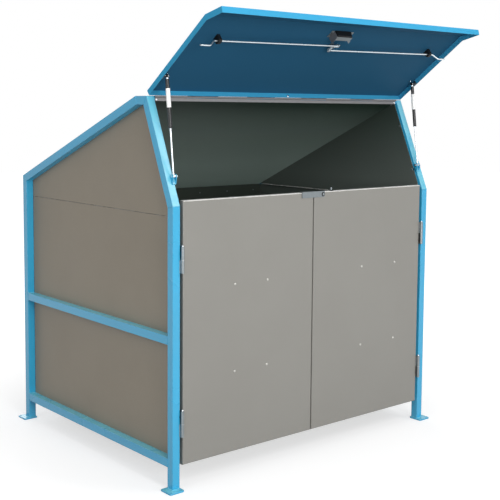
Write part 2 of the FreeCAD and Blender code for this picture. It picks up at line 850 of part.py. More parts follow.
def lock_plug():
    """The turning core, with a plain key slot in its outer end."""
    low = -cam_depth - cam_steel - plug_end
    core = Part.makeCylinder(plug_radius, barrel_rim - low, V(0, -cam_along, low))
    reach = key_slot_length / 2
    slot = block(-key_slot / 2, key_slot / 2, -cam_along - reach, -cam_along + reach,
                 barrel_rim - key_slot, barrel_rim)
    return on_lid(core.cut(slot))


def cam_pins():
    """The two pin places on the cam at rest, one for each rod."""
    return [(rod_side, -cam_along - rod_side), (-rod_side, -cam_along + rod_side)]


def lock_cam():
    """A flat bar on the core with a headed pin for each rod."""
    half = cam_radius + cam_width / 2
    bar = block(-half, half, -cam_width / 2, cam_width / 2, -cam_depth - cam_steel, -cam_depth)
    bar = cut_corners(bar, cam_corner)
    bar.rotate(V(0, 0, 0), V(0, 0, 1), -cam_turn / 2)
    bar.translate(V(0, -cam_along, 0))
    pieces = [bar]
    reach = rod_depth + rod_eye_thickness / 2 + cam_pin_gap
    for x, y in cam_pins():
        pieces.append(Part.makeCylinder(cam_pin_radius, reach - cam_depth, V(x, y, -reach)))
        head_place = V(x, y, -reach - cam_pin_head)
        pieces.append(Part.makeCylinder(cam_pin_radius + cam_pin_head, cam_pin_head, head_place))
    core = Part.makeCylinder(plug_radius, cam_steel, V(0, -cam_along, -cam_depth - cam_steel))
    return on_lid(join(pieces).cut(core))


def bent_rod(points):
    """A round bar along straight runs joined by tangent arcs."""
    edges = []
    start = points[0]
    for before, corner, after in zip(points, points[1:], points[2:]):
        back = (before - corner).normalize()
        ahead = (after - corner).normalize()
        half_turn = back.getAngle(ahead) / 2
        reach = rod_bend_radius * cos(half_turn) / sin(half_turn)
        centre = corner + (back + ahead).normalize() * (rod_bend_radius / sin(half_turn))
        middle = centre + (corner - centre).normalize() * rod_bend_radius
        first = corner + back * reach
        last = corner + ahead * reach
        edges.append(Part.makeLine(start, first))
        edges.append(Part.Arc(first, middle, last).toShape())
        start = last
    edges.append(Part.makeLine(start, points[-1]))
    section = Part.Wire([Part.makeCircle(rod_radius, points[0], points[1] - points[0])])
    return Part.Wire(edges).makePipeShell([section], True, False)


def rod_eye(side):
    """The middle of a rod's slotted eye: the cam pin's place, and half its rise along the lid."""
    pin_x, pin_y = cam_pins()[0 if side < 0 else 1]
    return pin_x, pin_y + side * (cam_radius - rod_side) / 2


def rod_slope(side):
    """How far a rod's long run goes along the lid for each millimetre across it."""
    pin_x, eye_y = rod_eye(side)
    return (-cam_along - eye_y) / (side * rod_bend_out - pin_x)


def lock_rod(side):
    """A lock rod: a slotted eye on the cam pin, a long slanting run, a jog and a straight tip."""
    pin_x, eye_y = rod_eye(side)
    tip = side * (inner_half - rod_tip_gap)
    tip_depth = rod_tip_depth()
    bend_in = side * rod_bend_in
    bend_out = side * rod_bend_out
    start = pin_x + side * rod_eye_width / 2
    bar = bent_rod([
        V(start - side * rod_eye_lap, eye_y + (start - pin_x) * rod_slope(side), -rod_depth),
        V(bend_out, -cam_along, -rod_depth),
        V(bend_in, -cam_along, -tip_depth),
        V(tip, -cam_along, -tip_depth),
    ])
    half = rod_eye_width / 2
    plate = block(pin_x - half, pin_x + half, eye_y - half, eye_y + half,
                  -rod_depth - rod_eye_thickness / 2, -rod_depth + rod_eye_thickness / 2)
    plate = cut_corners(plate, rod_radius)
    lag = cam_radius * (sin(radians(cam_turn / 4)) - sin(radians(cam_turn / 2)) / 2)
    wide = cam_pin_radius + rod_eye_slack + lag
    drift = rod_travel * abs(rod_slope(side))
    tall = cam_pin_radius + rod_eye_slack + (cam_radius - rod_side) / 2 + drift
    slot = block(pin_x - wide, pin_x + wide, eye_y - tall, eye_y + tall,
                 -rod_depth - rod_eye_thickness, -rod_depth + rod_eye_thickness)
    return on_lid(join([plate, bar]).cut(slot))


def rod_guide(side):
    """A moulded block with a bevelled foot that carries the rod under the lid sheet."""
    y = -cam_along - side * (rod_bend_out - guide_place) * rod_slope(side)
    x0 = side * guide_place - guide_width / 2
    low = -rod_depth - guide_below_rod
    body = block(x0, x0 + guide_width, y - guide_height / 2, y + guide_height / 2, low, -sheet)
    across = [e for e in body.Edges if abs(e.CenterOfMass.z - low) < 0.01 and abs(e.CenterOfMass.y - y) > 1]
    body = body.makeChamfer(guide_bevel, across)
    return on_lid(body.cut(rod_along_x(rod_radius + guide_gap, x0, x0 + guide_width, y, -rod_depth)))


def mirror_x(piece):
    return piece.mirror(V(0, 0, 0), V(1, 0, 0))


def frame_nodes():
    names = ("front_post", "raked_tube", "ridge_tube", "roof_tube", "rear_post")
    nodes = {}
    for index, name in enumerate(names):
        tube = frame_tube(index)
        if name == "raked_tube":
            tube = tube.cut(rod_hole())
        nodes["left_" + name] = [tube]
    nodes["left_mid_rail"] = [side_rail(mid_rail_height)]
    nodes["left_bottom_rail"] = [side_rail(bottom_rail_height)]
    nodes["left_wall_panel"] = [wall_panel()]
    nodes["left_gable_panel"] = [gable_panel()]
    for name in list(nodes):
        nodes[name.replace("left_", "right_")] = [mirror_x(s) for s in nodes[name]]
    nodes["foot_plates"] = foot_plates()
    nodes["ridge_rail"] = [ridge_rail()]
    rear_top = roof_height(rear) - panel_gap - tube_size
    nodes["rear_top_rail"] = [rear_rail(rear_top)]
    nodes["rear_mid_rail"] = [rear_rail(mid_rail_height)]
    nodes["rear_bottom_rail"] = [rear_rail(bottom_rail_height)]
    nodes["back_panel"] = [back_panel()]
    nodes["roof_panel"] = [roof_panel()]
    nodes["lid_hinge_fixed_leaf"] = [lid_fixed_leaf()]
    nodes["lid_hinge_pin"] = [lid_pin()]
    nodes["door_hinge_post_leaves"] = [s for z in hinge_heights for s in both_sides(post_leaf(z))]
    nodes["door_hinge_pins"] = [s for z in hinge_heights for s in both_sides(hinge_pin(z))]
    nodes["strut_brackets"] = both_sides(clevis())
    nodes["strut_foot_pins"] = both_sides(clevis_pin())
    return nodes


def door_nodes():
    nodes = {}
    nodes["left_door_skin"] = [tray(-door_edge, -door_inner, door_bottom, door_top)]
    nodes["right_door_skin"] = [tray(door_inner, door_edge, door_bottom, door_top)]
    nodes["left_door_ribs"] = [door_rib(-x) for x in rib_places(left_rib_shares)]
    nodes["right_door_ribs"] = [door_rib(x) for x in rib_places(right_rib_shares)]
    nodes["left_door_rivets"] = rivets(-1, left_rib_shares)
    nodes["right_door_rivets"] = rivets(1, right_rib_shares)
    leaves = [door_leaf(z) for z in hinge_heights]
    nodes["left_door_hinge_leaves"] = leaves
    nodes["right_door_hinge_leaves"] = [mirror_x(s) for s in leaves]
    nodes["latch_bar"] = [latch_bar()]
    nodes["latch_rivet"] = [latch_rivet()]
    nodes["latch_stop"] = [latch_stop()]
    return nodes


def lid_nodes():
    return {
        "lid_panel": [lid_panel()],
        "lid_hinge_moving_leaf": [lid_moving_leaf()],
        "strut_studs": both_sides(strut_stud()),
        "lock_case": [lock_case()],
        "lock_strap": [lock_strap()],
        "lock_barrel": [lock_barrel()],
        "lock_plug": [lock_plug()],
        "lock_cam": [lock_cam()],
        "left_lock_rod": [lock_rod(-1)],
        "right_lock_rod": [lock_rod(1)],
        "rod_guides": [rod_guide(-1), rod_guide(1)],
    }


def strut_nodes():
    nodes = {
        "left_strut_rod": [strut_rod()],
        "left_strut_cylinder": [strut_cylinder()],
        "left_strut_sleeve": [strut_sleeve()],
    }
    for name in list(nodes):
        nodes[name.replace("left_", "right_")] = [mirror_x(s) for s in nodes[name]]
    return nodes


def main():
    os.makedirs("parts", exist_ok=True)
    nodes = {}
    for group in (frame_nodes(), door_nodes(), lid_nodes(), strut_nodes()):
        nodes.update(group)
    for name, solids in sorted(nodes.items()):
        shape = solids[0] if len(solids) == 1 else Part.makeCompound(solids)
        shape.exportStep(os.path.join("parts", name + ".step"))
        print(name, len(shape.Solids), shape.isValid(), round(shape.Volume))


main()
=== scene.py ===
import math

import bmesh
import bpy
from mathutils import Matrix, Vector


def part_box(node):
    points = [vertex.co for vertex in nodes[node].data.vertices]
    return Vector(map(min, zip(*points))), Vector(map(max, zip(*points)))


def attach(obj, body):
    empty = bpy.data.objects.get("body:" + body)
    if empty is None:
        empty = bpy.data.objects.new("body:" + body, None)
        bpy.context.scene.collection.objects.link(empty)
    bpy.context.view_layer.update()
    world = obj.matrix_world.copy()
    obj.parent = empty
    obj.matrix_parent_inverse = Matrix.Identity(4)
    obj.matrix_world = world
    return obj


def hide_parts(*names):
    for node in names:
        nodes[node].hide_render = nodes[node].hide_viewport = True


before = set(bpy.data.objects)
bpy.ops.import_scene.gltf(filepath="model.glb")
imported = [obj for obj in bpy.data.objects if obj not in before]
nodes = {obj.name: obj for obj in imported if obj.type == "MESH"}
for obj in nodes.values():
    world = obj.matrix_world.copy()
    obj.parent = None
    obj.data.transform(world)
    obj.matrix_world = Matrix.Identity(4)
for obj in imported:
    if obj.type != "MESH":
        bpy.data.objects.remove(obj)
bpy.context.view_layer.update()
print("frame loaded:", len(nodes), "nodes")

scene = bpy.context.scene
scene.view_settings.view_transform = "Standard"

camera = {  # stands where the photograph was taken from, metres
    "place": (-3.4472, -4.3044, 1.7616),
    "yaw": 0.7002,  # to the right of straight ahead, radians
    "pitch": 0.0922,  # downwards
    "roll": 0.008,
    "lens": 71.08,
    "sensor": 36,
    "shiftY": -0.1,
    "reach": 100,
}


def makeCamera():
    data = bpy.data.cameras.new("camera")
    data.lens = camera["lens"]
    data.sensor_width = camera["sensor"]
    data.shift_y = camera["shiftY"]
    data.clip_end = camera["reach"]
    cam = bpy.data.objects.new("camera", data)
    scene.collection.objects.link(cam)
    yaw, pitch, roll = camera["yaw"], camera["pitch"], camera["roll"]
    ahead = Vector((math.sin(yaw) * math.cos(pitch), math.cos(yaw) * math.cos(pitch), -math.sin(pitch)))
    right = Vector((math.cos(yaw), -math.sin(yaw), 0))
    up = right.cross(ahead)
    sideways = right * math.cos(roll) + up * math.sin(roll)
    upwards = up * math.cos(roll) - right * math.sin(roll)
    turn = Matrix((sideways, upwards, -ahead)).transposed()
    cam.matrix_world = Matrix.Translation(camera["place"]) @ turn.to_4x4()
    scene.camera = cam


makeCamera()
print("camera set")


def newMaterial(name):
    mat = bpy.data.materials.new(name)
    mat.use_nodes = True
    tree = mat.node_tree
    tree.nodes.clear()
    return mat, tree, tree.nodes.new("ShaderNodeOutputMaterial")


def place(tree, kind, **values):
    node = tree.nodes.new(kind)
    for key, value in values.items():
        setattr(node, key, value)
    return node


def setInputs(node, values):
    for key, value in values.items():
        if isinstance(value, tuple) and len(value) == 3 and node.inputs[key].type == "RGBA":
            value = (*value, 1)
        node.inputs[key].default_value = value


def feed(tree, value, socket):
    # links another node's output, or sets a constant
    if hasattr(value, "is_output"):
        tree.links.new(value, socket)
    else:
        socket.default_value = value


def newGroup(name, inputs, outputs):
    # inputs are labels with defaults, where four numbers make a color and three a vector
    group = bpy.data.node_groups.new(name, "ShaderNodeTree")
    for label, default in inputs.items():
        kind = "Float" if isinstance(default, float) else "Color" if len(default) == 4 else "Vector"
        socket = group.interface.new_socket(name=label, in_out="INPUT", socket_type="NodeSocket" + kind)
        socket.default_value = default
    for label in outputs:
        kind = "Color" if label == "Color" else "Float"
        group.interface.new_socket(name=label, in_out="OUTPUT", socket_type="NodeSocket" + kind)
    return group, group.nodes.new("NodeGroupInput").outputs, group.nodes.new("NodeGroupOutput").inputs


def useGroup(tree, group, values):
    node = place(tree, "ShaderNodeGroup", node_tree=group)
    setInputs(node, values)
    return node


def mixColor(tree, factor, a, b):
    node = place(tree, "ShaderNodeMix", data_type="RGBA")
    for socket, value in ((node.inputs[0], factor), (node.inputs[6], a), (node.inputs[7], b)):
        feed(tree, value, socket)
    return node.outputs[2]


def mathNode(tree, operation, *values, clamp=False):
    node = place(tree, "ShaderNodeMath", operation=operation, use_clamp=clamp)
    for socket, value in zip(node.inputs, values):
        feed(tree, value, socket)
    return node.outputs[0]


def vectorNode(tree, operation, *vectors):
    node = place(tree, "ShaderNodeVectorMath", operation=operation)
    for socket, vector in zip(node.inputs, vectors):
        feed(tree, vector, socket)
    return node.outputs["Value" if operation in ("DOT_PRODUCT", "LENGTH") else "Vector"]


def shaded(tree, color, level):
    # the color times a brightness
    node = place(tree, "ShaderNodeVectorMath", operation="SCALE")
    tree.links.new(color, node.inputs[0])
    tree.links.new(level, node.inputs["Scale"])
    return node.outputs[0]


def noise(tree, vector, scale, detail=2.0, rough=0.5):
    node = place(tree, "ShaderNodeTexNoise")
    tree.links.new(vector, node.inputs["Vector"])
    setInputs(node, {"Detail": detail, "Roughness": rough})
    feed(tree, scale, node.inputs["Scale"])
    return node.outputs["Fac"]


def ramp(tree, value, low, high):
    node = place(tree, "ShaderNodeMapRange", clamp=True)
    for key, level in (("Value", value), ("From Min", low), ("From Max", high)):
        feed(tree, level, node.inputs[key])
    return node.outputs["Result"]


def rgb(*levels):
    # a screen color from 0 to 255 in the linear values that a shader takes
    shares = [level / 255 for level in levels]
    return tuple(c / 12.92 if c <= 0.04045 else ((c + 0.055) / 1.055) ** 2.4 for c in shares)


grey = (0.5, 0.5, 0.5, 1)
darkGrey = (0.2, 0.2, 0.2, 1)
paleGrey = (0.8, 0.8, 0.8, 1)

# noise settings are scale, detail and roughness, and a cut is where a mask starts and where it is full
coatGrain = {"broad": (3.1, 3.0), "fleckScale": 900.0, "fleckShare": 1.2, "middle": 0.5, "roughSwing": 0.12}


def makePowderCoat():
    look = coatGrain
    inputs = {"Color": grey, "Mottle": 0.06, "Peel Scale": 420.0, "Roughness": 0.42}
    group, src, out = newGroup("powderCoat", inputs, ("Color", "Roughness", "Height"))
    coords = place(group, "ShaderNodeTexCoord").outputs["Object"]
    broad = noise(group, coords, *look["broad"])
    fine = noise(group, coords, src["Peel Scale"], 1.0)
    flecks = noise(group, coords, look["fleckScale"], 0.0)
    swing = mathNode(group, "SUBTRACT", broad, look["middle"])
    grain = mathNode(group, "SUBTRACT", flecks, look["middle"])
    both = mathNode(group, "MULTIPLY_ADD", grain, look["fleckShare"], swing)
    level = mathNode(group, "MULTIPLY_ADD", both, src["Mottle"], 1.0)
    rough = mathNode(group, "MULTIPLY_ADD", swing, look["roughSwing"], src["Roughness"])
    group.links.new(shaded(group, src["Color"], level), out["Color"])
    group.links.new(fine, out["Height"])
    group.links.new(rough, out["Roughness"])
    return group


wornAndLitEdge = {"samples": 4, "slope": (0.02, 0.25), "breaks": (38.0, 4.0, 0.65), "breakCut": (0.42, 0.62)}
dust = {"clouds": (2.3, 5.0, 0.6), "cut": (0.45, 0.8)}


def makeEdgeWearAndHighlight():
    inputs = {"Color": grey, "Edge Color": paleGrey, "Dirt Color": (0.1, 0.09, 0.08, 1),
              "Width": 0.0012, "Amount": 0.5, "Dirt": 0.15}
    group, src, out = newGroup("edgeWear", inputs, ("Color",))
    coords = place(group, "ShaderNodeTexCoord").outputs["Object"]
    rounded = place(group, "ShaderNodeBevel", samples=wornAndLitEdge["samples"])
    group.links.new(src["Width"], rounded.inputs["Radius"])
    flat = place(group, "ShaderNodeNewGeometry").outputs["Normal"]
    same = vectorNode(group, "DOT_PRODUCT", rounded.outputs[0], flat)
    # paler edges: worn paint, and on the walls a painted highlight along the seam
    edge = ramp(group, mathNode(group, "SUBTRACT", 1.0, same), *wornAndLitEdge["slope"])
    broken = ramp(group, noise(group, coords, *wornAndLitEdge["breaks"]), *wornAndLitEdge["breakCut"])
    paleShare = mathNode(group, "MULTIPLY", edge, broken)
    mask = mathNode(group, "MULTIPLY", paleShare, src["Amount"], clamp=True)
    clouds = ramp(group, noise(group, coords, *dust["clouds"]), *dust["cut"])
    dusty = mathNode(group, "MULTIPLY", clouds, src["Dirt"])
    dirty = mixColor(group, dusty, src["Color"], src["Dirt Color"])
    group.links.new(mixColor(group, mask, dirty, src["Edge Color"]), out["Color"])
    return group


pebbles = {"wobbleScale": 240.0, "wobble": 0.0012, "top": 0.32}


def makeSheetGrain():
    inputs = {"Color": grey, "Cell Scale": 620.0, "Crease": 0.12}
    group, src, out = newGroup("sheetGrain", inputs, ("Color", "Height"))
    coords = place(group, "ShaderNodeTexCoord").outputs["Object"]
    wobble = place(group, "ShaderNodeTexNoise")
    group.links.new(coords, wobble.inputs["Vector"])
    wobble.inputs["Scale"].default_value = pebbles["wobbleScale"]
    bent = vectorNode(group, "MULTIPLY_ADD", wobble.outputs["Color"], (pebbles["wobble"],) * 3, coords)
    cells = place(group, "ShaderNodeTexVoronoi", feature="DISTANCE_TO_EDGE")
    group.links.new(bent, cells.inputs["Vector"])
    group.links.new(src["Cell Scale"], cells.inputs["Scale"])
    pebble = ramp(group, cells.outputs["Distance"], 0.0, pebbles["top"])
    fall = mathNode(group, "SUBTRACT", 1.0, pebble)
    level = mathNode(group, "SUBTRACT", 1.0, mathNode(group, "MULTIPLY", fall, src["Crease"]))
    group.links.new(shaded(group, src["Color"], level), out["Color"])
    group.links.new(pebble, out["Height"])
    return group


def makeInsideShade():
    # painted shade: another, darker color on the side that faces the centre, and a third low down on that
    # side, blended in between two heights, which on the walls, doors and roof paints the lower inside lighter
    # where more light falls
    inputs = {"Outer Color": grey, "Inner Color": darkGrey, "Low Color": darkGrey, "Low Height": 1.2,
              "High Height": 1.7, "Turn": 0.0, "Centre": (0.0, 0.0, 0.9), "Spread": (1.0, 1.0, 1.0)}
    group, src, out = newGroup("insideCoat", inputs, ("Color",))
    coords = place(group, "ShaderNodeTexCoord").outputs
    away = vectorNode(group, "SUBTRACT", coords["Object"], src["Centre"])
    outward = vectorNode(group, "NORMALIZE", vectorNode(group, "MULTIPLY", away, src["Spread"]))
    facing = vectorNode(group, "DOT_PRODUCT", outward, coords["Normal"])
    inside = mathNode(group, "LESS_THAN", facing, src["Turn"])
    split = place(group, "ShaderNodeSeparateXYZ")
    group.links.new(coords["Object"], split.inputs[0])
    high = ramp(group, split.outputs["Z"], src["Low Height"], src["High Height"])
    inner = mixColor(group, high, src["Low Color"], src["Inner Color"])
    group.links.new(mixColor(group, inside, src["Outer Color"], inner), out["Color"])
    return group


drawnSteel = {
    "clouds": (4.0, 0.6),  # detail and roughness, as the scale is an input
    "lines": (40.0, 900.0, 900.0), "lineShare": 0.35, "middle": 0.68, "roughSwing": 0.22,
}


def makeZincPlate():
    look = drawnSteel
    inputs = {"Color": (0.6, 0.61, 0.62, 1), "Scale": 90.0, "Roughness": 0.34, "Contrast": 0.2}
    group, src, out = newGroup("zincPlate", inputs, ("Color", "Roughness", "Height"))
    coords = place(group, "ShaderNodeTexCoord").outputs["Object"]
    clouds = noise(group, coords, src["Scale"], *look["clouds"])
    drawn = place(group, "ShaderNodeMapping")  # fine lines left by rolling the steel
    drawn.inputs["Scale"].default_value = look["lines"]
    group.links.new(coords, drawn.inputs["Vector"])
    lines = noise(group, drawn.outputs[0], 1.0)
    both = mathNode(group, "MULTIPLY_ADD", lines, look["lineShare"], clouds)
    shade = mathNode(group, "SUBTRACT", both, look["middle"])
    level = mathNode(group, "MULTIPLY_ADD", shade, src["Contrast"], 1.0)
    rough = mathNode(group, "MULTIPLY_ADD", shade, look["roughSwing"], src["Roughness"])
    group.links.new(shaded(group, src["Color"], level), out["Color"])
    group.links.new(rough, out["Roughness"])
    group.links.new(lines, out["Height"])
    return group


highlightPatches = {"noise": (14.0, 3.0), "cut": (0.1, 0.5)}


def makeUpFacingHighlight():
    # painted highlight: a paler color, in patches, where the surface faces up
    inputs = {"Color": grey, "Fold Color": paleGrey, "Low Slope": 0.2, "High Slope": 0.6}
    group, src, out = newGroup("foldRub", inputs, ("Color",))
    coords = place(group, "ShaderNodeTexCoord").outputs
    split = place(group, "ShaderNodeSeparateXYZ")
    group.links.new(coords["Normal"], split.inputs[0])
    slope = ramp(group, split.outputs["Z"], src["Low Slope"], src["High Slope"])
    patches = ramp(group, noise(group, coords["Object"], *highlightPatches["noise"]), *highlightPatches["cut"])
    paleShare = mathNode(group, "MULTIPLY", slope, patches)
    group.links.new(mixColor(group, paleShare, src["Color"], src["Fold Color"]), out["Color"])
    return group


powderCoat = makePowderCoat()
edgeWear = makeEdgeWearAndHighlight()
sheetGrain = makeSheetGrain()
insideCoat = makeInsideShade()
zincPlate = makeZincPlate()
foldRub = makeUpFacingHighlight()
print("shared effects built")

roundingSamples = 6


def bumpFrom(tree, height, distance, rounding=0):
    bump = place(tree, "ShaderNodeBump")
    if rounding:
        rounded = place(tree, "ShaderNodeBevel", samples=roundingSamples)
        rounded.inputs["Radius"].default_value = rounding
        tree.links.new(rounded.outputs[0], bump.inputs["Normal"])
    bump.inputs["Strength"].default_value = 1.0
    bump.inputs["Distance"].default_value = distance
    tree.links.new(height, bump.inputs["Height"])
    return bump.outputs[0]


def finishMaterial(tree, out, look, values, color, roughness, normal):
    # worn edges, which on the walls paint a highlight along the seam, and dust go over the color, and the
    # shader gets all of it
    wornAndLitEdges = useGroup(tree, edgeWear, {
        "Edge Color": look["edge"], "Dirt Color": look["dirt"], "Width": look["edgeWidth"],
        "Amount": look["edgeAmount"], "Dirt": look["dirtAmount"],
    })
    tree.links.new(color, wornAndLitEdges.inputs["Color"])
    shader = place(tree, "ShaderNodeBsdfPrincipled")
    setInputs(shader, values)
    tree.links.new(wornAndLitEdges.outputs["Color"], shader.inputs["Base Color"])
    tree.links.new(roughness, shader.inputs["Roughness"])
    tree.links.new(normal, shader.inputs["Normal"])
    tree.links.new(shader.outputs[0], out.inputs["Surface"])


def coatedMetal(name, look):
    mat, tree, out = newMaterial(name)
    coat = useGroup(tree, powderCoat, {
        "Color": look["color"], "Mottle": look["mottle"], "Peel Scale": look["peelScale"],
        "Roughness": look["roughness"],
    })
    # painted shade on the side that faces inwards
    if "inner" in look:
        sides = useGroup(tree, insideCoat, {
            "Outer Color": look["color"], "Inner Color": look["inner"], "Low Color": look["innerLow"],
            "Low Height": look["lowHeight"], "High Height": look["highHeight"],
            "Turn": look["turn"], "Centre": look["centre"], "Spread": look["spread"],
        })
        tree.links.new(sides.outputs["Color"], coat.inputs["Color"])
    color, height = coat.outputs["Color"], coat.outputs["Height"]
    if "grain" in look:
        grain = useGroup(tree, sheetGrain, {"Cell Scale": look["grain"], "Crease": look["crease"]})
        tree.links.new(color, grain.inputs["Color"])
        color, height = grain.outputs["Color"], grain.outputs["Height"]
    # a painted highlight where the surface faces up
    if "topHighlight" in look:
        slopes = {"Low Slope": look["lowSlope"], "High Slope": look["highSlope"]}
        highlightNode = useGroup(tree, foldRub, {"Fold Color": look["topHighlight"], **slopes})
        tree.links.new(color, highlightNode.inputs["Color"])
        color = highlightNode.outputs["Color"]
    normal = bumpFrom(tree, height, look["peelDepth"], look.get("rounding", 0))
    values = {"IOR": look.get("ior", 1.5), "Specular IOR Level": look["gloss"]}
    finishMaterial(tree, out, look, values, color, coat.outputs["Roughness"], normal)
    return mat


def plainMetal(name, look):
    mat, tree, out = newMaterial(name)
    zinc = useGroup(tree, zincPlate, {
        "Color": look["color"], "Scale": look["scale"], "Roughness": look["roughness"],
        "Contrast": look["contrast"],
    })
    normal = bumpFrom(tree, zinc.outputs["Height"], look["bumpDepth"])
    color, roughness = zinc.outputs["Color"], zinc.outputs["Roughness"]
    finishMaterial(tree, out, look, {"Metallic": 1.0}, color, roughness, normal)
    return mat


tubeCoat = {"mottle": 0.05, "peelScale": 520.0, "peelDepth": 0.00006}
sheetCoat = {"mottle": 0.05, "peelScale": 640.0, "peelDepth": 0.00008, "grain": 620.0, "crease": 0.1}
storeInsideShade = {  # painted shade on the sheets' side that faces into the store, painted lighter low down
    "inner": rgb(56, 68, 62), "innerLow": rgb(96, 104, 99), "lowHeight": 1.36, "highHeight": 1.74,
    "centre": (0.0, 0.0, 0.9), "spread": (1.0, 1.0, 1.0), "turn": 0.0,
}
frameLook = {
    **tubeCoat, "color": rgb(52, 168, 212), "roughness": 0.26, "gloss": 0.62, "rounding": 0.004,
    # painted highlight on the faces that turn up
    "topHighlight": rgb(112, 196, 214), "lowSlope": 0.15, "highSlope": 0.45,
    "edge": rgb(150, 214, 236), "edgeWidth": 0.0022, "edgeAmount": 0.5,
    "dirt": rgb(74, 110, 126), "dirtAmount": 0.10,
}
wallLook = {
    **sheetCoat, "color": rgb(145, 136, 121), "roughness": 0.5, "gloss": 0.4,
    **storeInsideShade, "spread": (1.0, 0.0, 0.0), "turn": 0.05,
    "edge": rgb(186, 180, 170), "edgeWidth": 0.001, "edgeAmount": 0.4,
    "dirt": rgb(92, 84, 74), "dirtAmount": 0.14,
}
wallLookWithSeamHighlight = dict(wallLook, edge=rgb(226, 222, 214), edgeWidth=0.003, edgeAmount=0.9)  # pale edges that paint a highlight along the seam
# painted shade: the back panel's inside is dark all the way up
backLook = dict(wallLook, inner=rgb(48, 56, 49), innerLow=rgb(48, 56, 49), spread=(0.0, 1.0, 0.0))
# painted shade on the roof's underside near the ridge, and painted light low down towards the eaves
roofLook = dict(
    wallLook, inner=rgb(18, 40, 30), innerLow=rgb(190, 212, 202), lowHeight=1.32, highHeight=1.78,
    spread=(1.0, 1.0, 1.0), turn=0.0, dirtAmount=0.04,
)
doorLook = {
    **sheetCoat, "color": rgb(141, 139, 133), "roughness": 0.36, "gloss": 0.55, **storeInsideShade,
    "topHighlight": rgb(236, 234, 228), "lowSlope": 0.15, "highSlope": 0.5,  # painted highlight on the door's top edge and other faces that turn up
    "edge": rgb(214, 212, 206), "edgeWidth": 0.0012, "edgeAmount": 0.5,
    "dirt": rgb(104, 99, 92), "dirtAmount": 0.10,
}
leftDoorLook = dict(doorLook, centre=(-0.41, -0.62, 0.73))
rightDoorLook = dict(doorLook, centre=(0.41, -0.62, 0.73))
lidLook = {
    **tubeCoat, "color": rgb(62, 158, 200), "roughness": 0.5, "gloss": 0.12, "ior": 1.18, "rounding": 0.0012,
    # painted shade: the lid's underside is darker than its outer face
    "inner": rgb(42, 91, 122), "innerLow": rgb(42, 91, 122), "lowHeight": 1.8, "highHeight": 2.1,
    "centre": (0.0, -6.6, -6.1), "spread": (1.0, 1.0, 1.0), "turn": -0.5,
    "edge": rgb(160, 214, 234), "edgeWidth": 0.0016, "edgeAmount": 0.5,
    "dirt": rgb(60, 92, 108), "dirtAmount": 0.08,
}
strutLook = {
    "color": rgb(24, 25, 28), "mottle": 0.05, "peelScale": 900.0, "peelDepth": 0.00001,
    "roughness": 0.24, "gloss": 0.4, "edge": rgb(80, 82, 86), "edgeWidth": 0.0006, "edgeAmount": 0.4,
    "dirt": rgb(60, 58, 54), "dirtAmount": 0.1,
}
sleeveLook = {
    "color": rgb(250, 250, 247), "mottle": 0.03, "peelScale": 700.0, "peelDepth": 0.00001,
    "roughness": 0.4, "gloss": 0.5, "edge": rgb(250, 250, 248), "edgeWidth": 0.0006, "edgeAmount": 0.2,
    "dirt": rgb(170, 168, 160), "dirtAmount": 0.12,
}
plasticLook = {
    "color": rgb(22, 23, 24), "mottle": 0.06, "peelScale": 1400.0, "peelDepth": 0.00005,
    "roughness": 0.5, "gloss": 0.25, "edge": rgb(60, 62, 64), "edgeWidth": 0.0008, "edgeAmount": 0.35,
    "dirt": rgb(52, 52, 50), "dirtAmount": 0.15,
}
zincLook = {
    "color": rgb(132, 139, 142), "scale": 70.0, "roughness": 0.4, "contrast": 0.3, "bumpDepth": 0.00001,
    "edge": rgb(206, 208, 210), "edgeWidth": 0.0007, "edgeAmount": 0.4,
    "dirt": rgb(92, 90, 84), "dirtAmount": 0.2,
}
dullLook = dict(zincLook, color=rgb(128, 128, 130), roughness=0.6, contrast=0.4)
rodLook = dict(zincLook, color=rgb(214, 222, 226), roughness=0.3, contrast=0.15)
pinLook = dict(zincLook, color=rgb(228, 230, 232), roughness=0.22, contrast=0.1)
rivetLook = dict(zincLook, color=rgb(182, 181, 176), roughness=0.5, contrast=0.1)
chromeLook = {
    "color": rgb(214, 217, 222), "scale": 20.0, "roughness": 0.14, "contrast": 0.06, "bumpDepth": 0.000003,
    "edge": rgb(235, 236, 238), "edgeWidth": 0.0004, "edgeAmount": 0.2,
    "dirt": rgb(120, 118, 112), "dirtAmount": 0.05,
}

finishes = {
    "frame": coatedMetal("frameBlue", frameLook),
    "wall": coatedMetal("wallGrey", wallLookWithSeamHighlight),
    "back": coatedMetal("backGrey", backLook),
    "leftDoor": coatedMetal("leftDoorGrey", leftDoorLook),
    "rightDoor": coatedMetal("rightDoorGrey", rightDoorLook),
    "lid": coatedMetal("lidBlue", lidLook),
    "roof": coatedMetal("roofGrey", roofLook),
    "strut": coatedMetal("strutBlack", strutLook),
    "sleeve": coatedMetal("sleeveWhite", sleeveLook),
    "plastic": coatedMetal("mouldedBlack", plasticLook),
    "zinc": plainMetal("brightZinc", zincLook),
    "dull": plainMetal("dullZinc", dullLook),
    "rod": plainMetal("drawnRod", rodLook),
    "pin": plainMetal("polishedPin", pinLook),
    "rivet": plainMetal("paleRivet", rivetLook),
    "chrome": plainMetal("chromeRod", chromeLook),
}

finishOf = {  # by the end of a node's name, and zinc for the rest
    "frame": ["front_post", "raked_tube", "ridge_tube", "roof_tube", "rear_post", "mid_rail", "bottom_rail",
              "foot_plates", "ridge_rail", "rear_top_rail", "strut_brackets"],
    "wall": ["wall_panel", "gable_panel"],
    "back": ["back_panel"],
    "leftDoor": ["left_door_skin", "left_door_ribs"],
    "rightDoor": ["right_door_skin", "right_door_ribs"],
    "dull": ["lid_hinge_fixed_leaf", "lid_hinge_moving_leaf"],
    "lid": ["lid_panel"],
    "roof": ["roof_panel"],
    "strut": ["strut_cylinder"],
    "sleeve": ["strut_sleeve"],
    "plastic": ["lock_case", "rod_guides"],
    "chrome": ["strut_rod"],
    "rod": ["lock_rod", "lock_cam", "strut_foot_pins"],
}


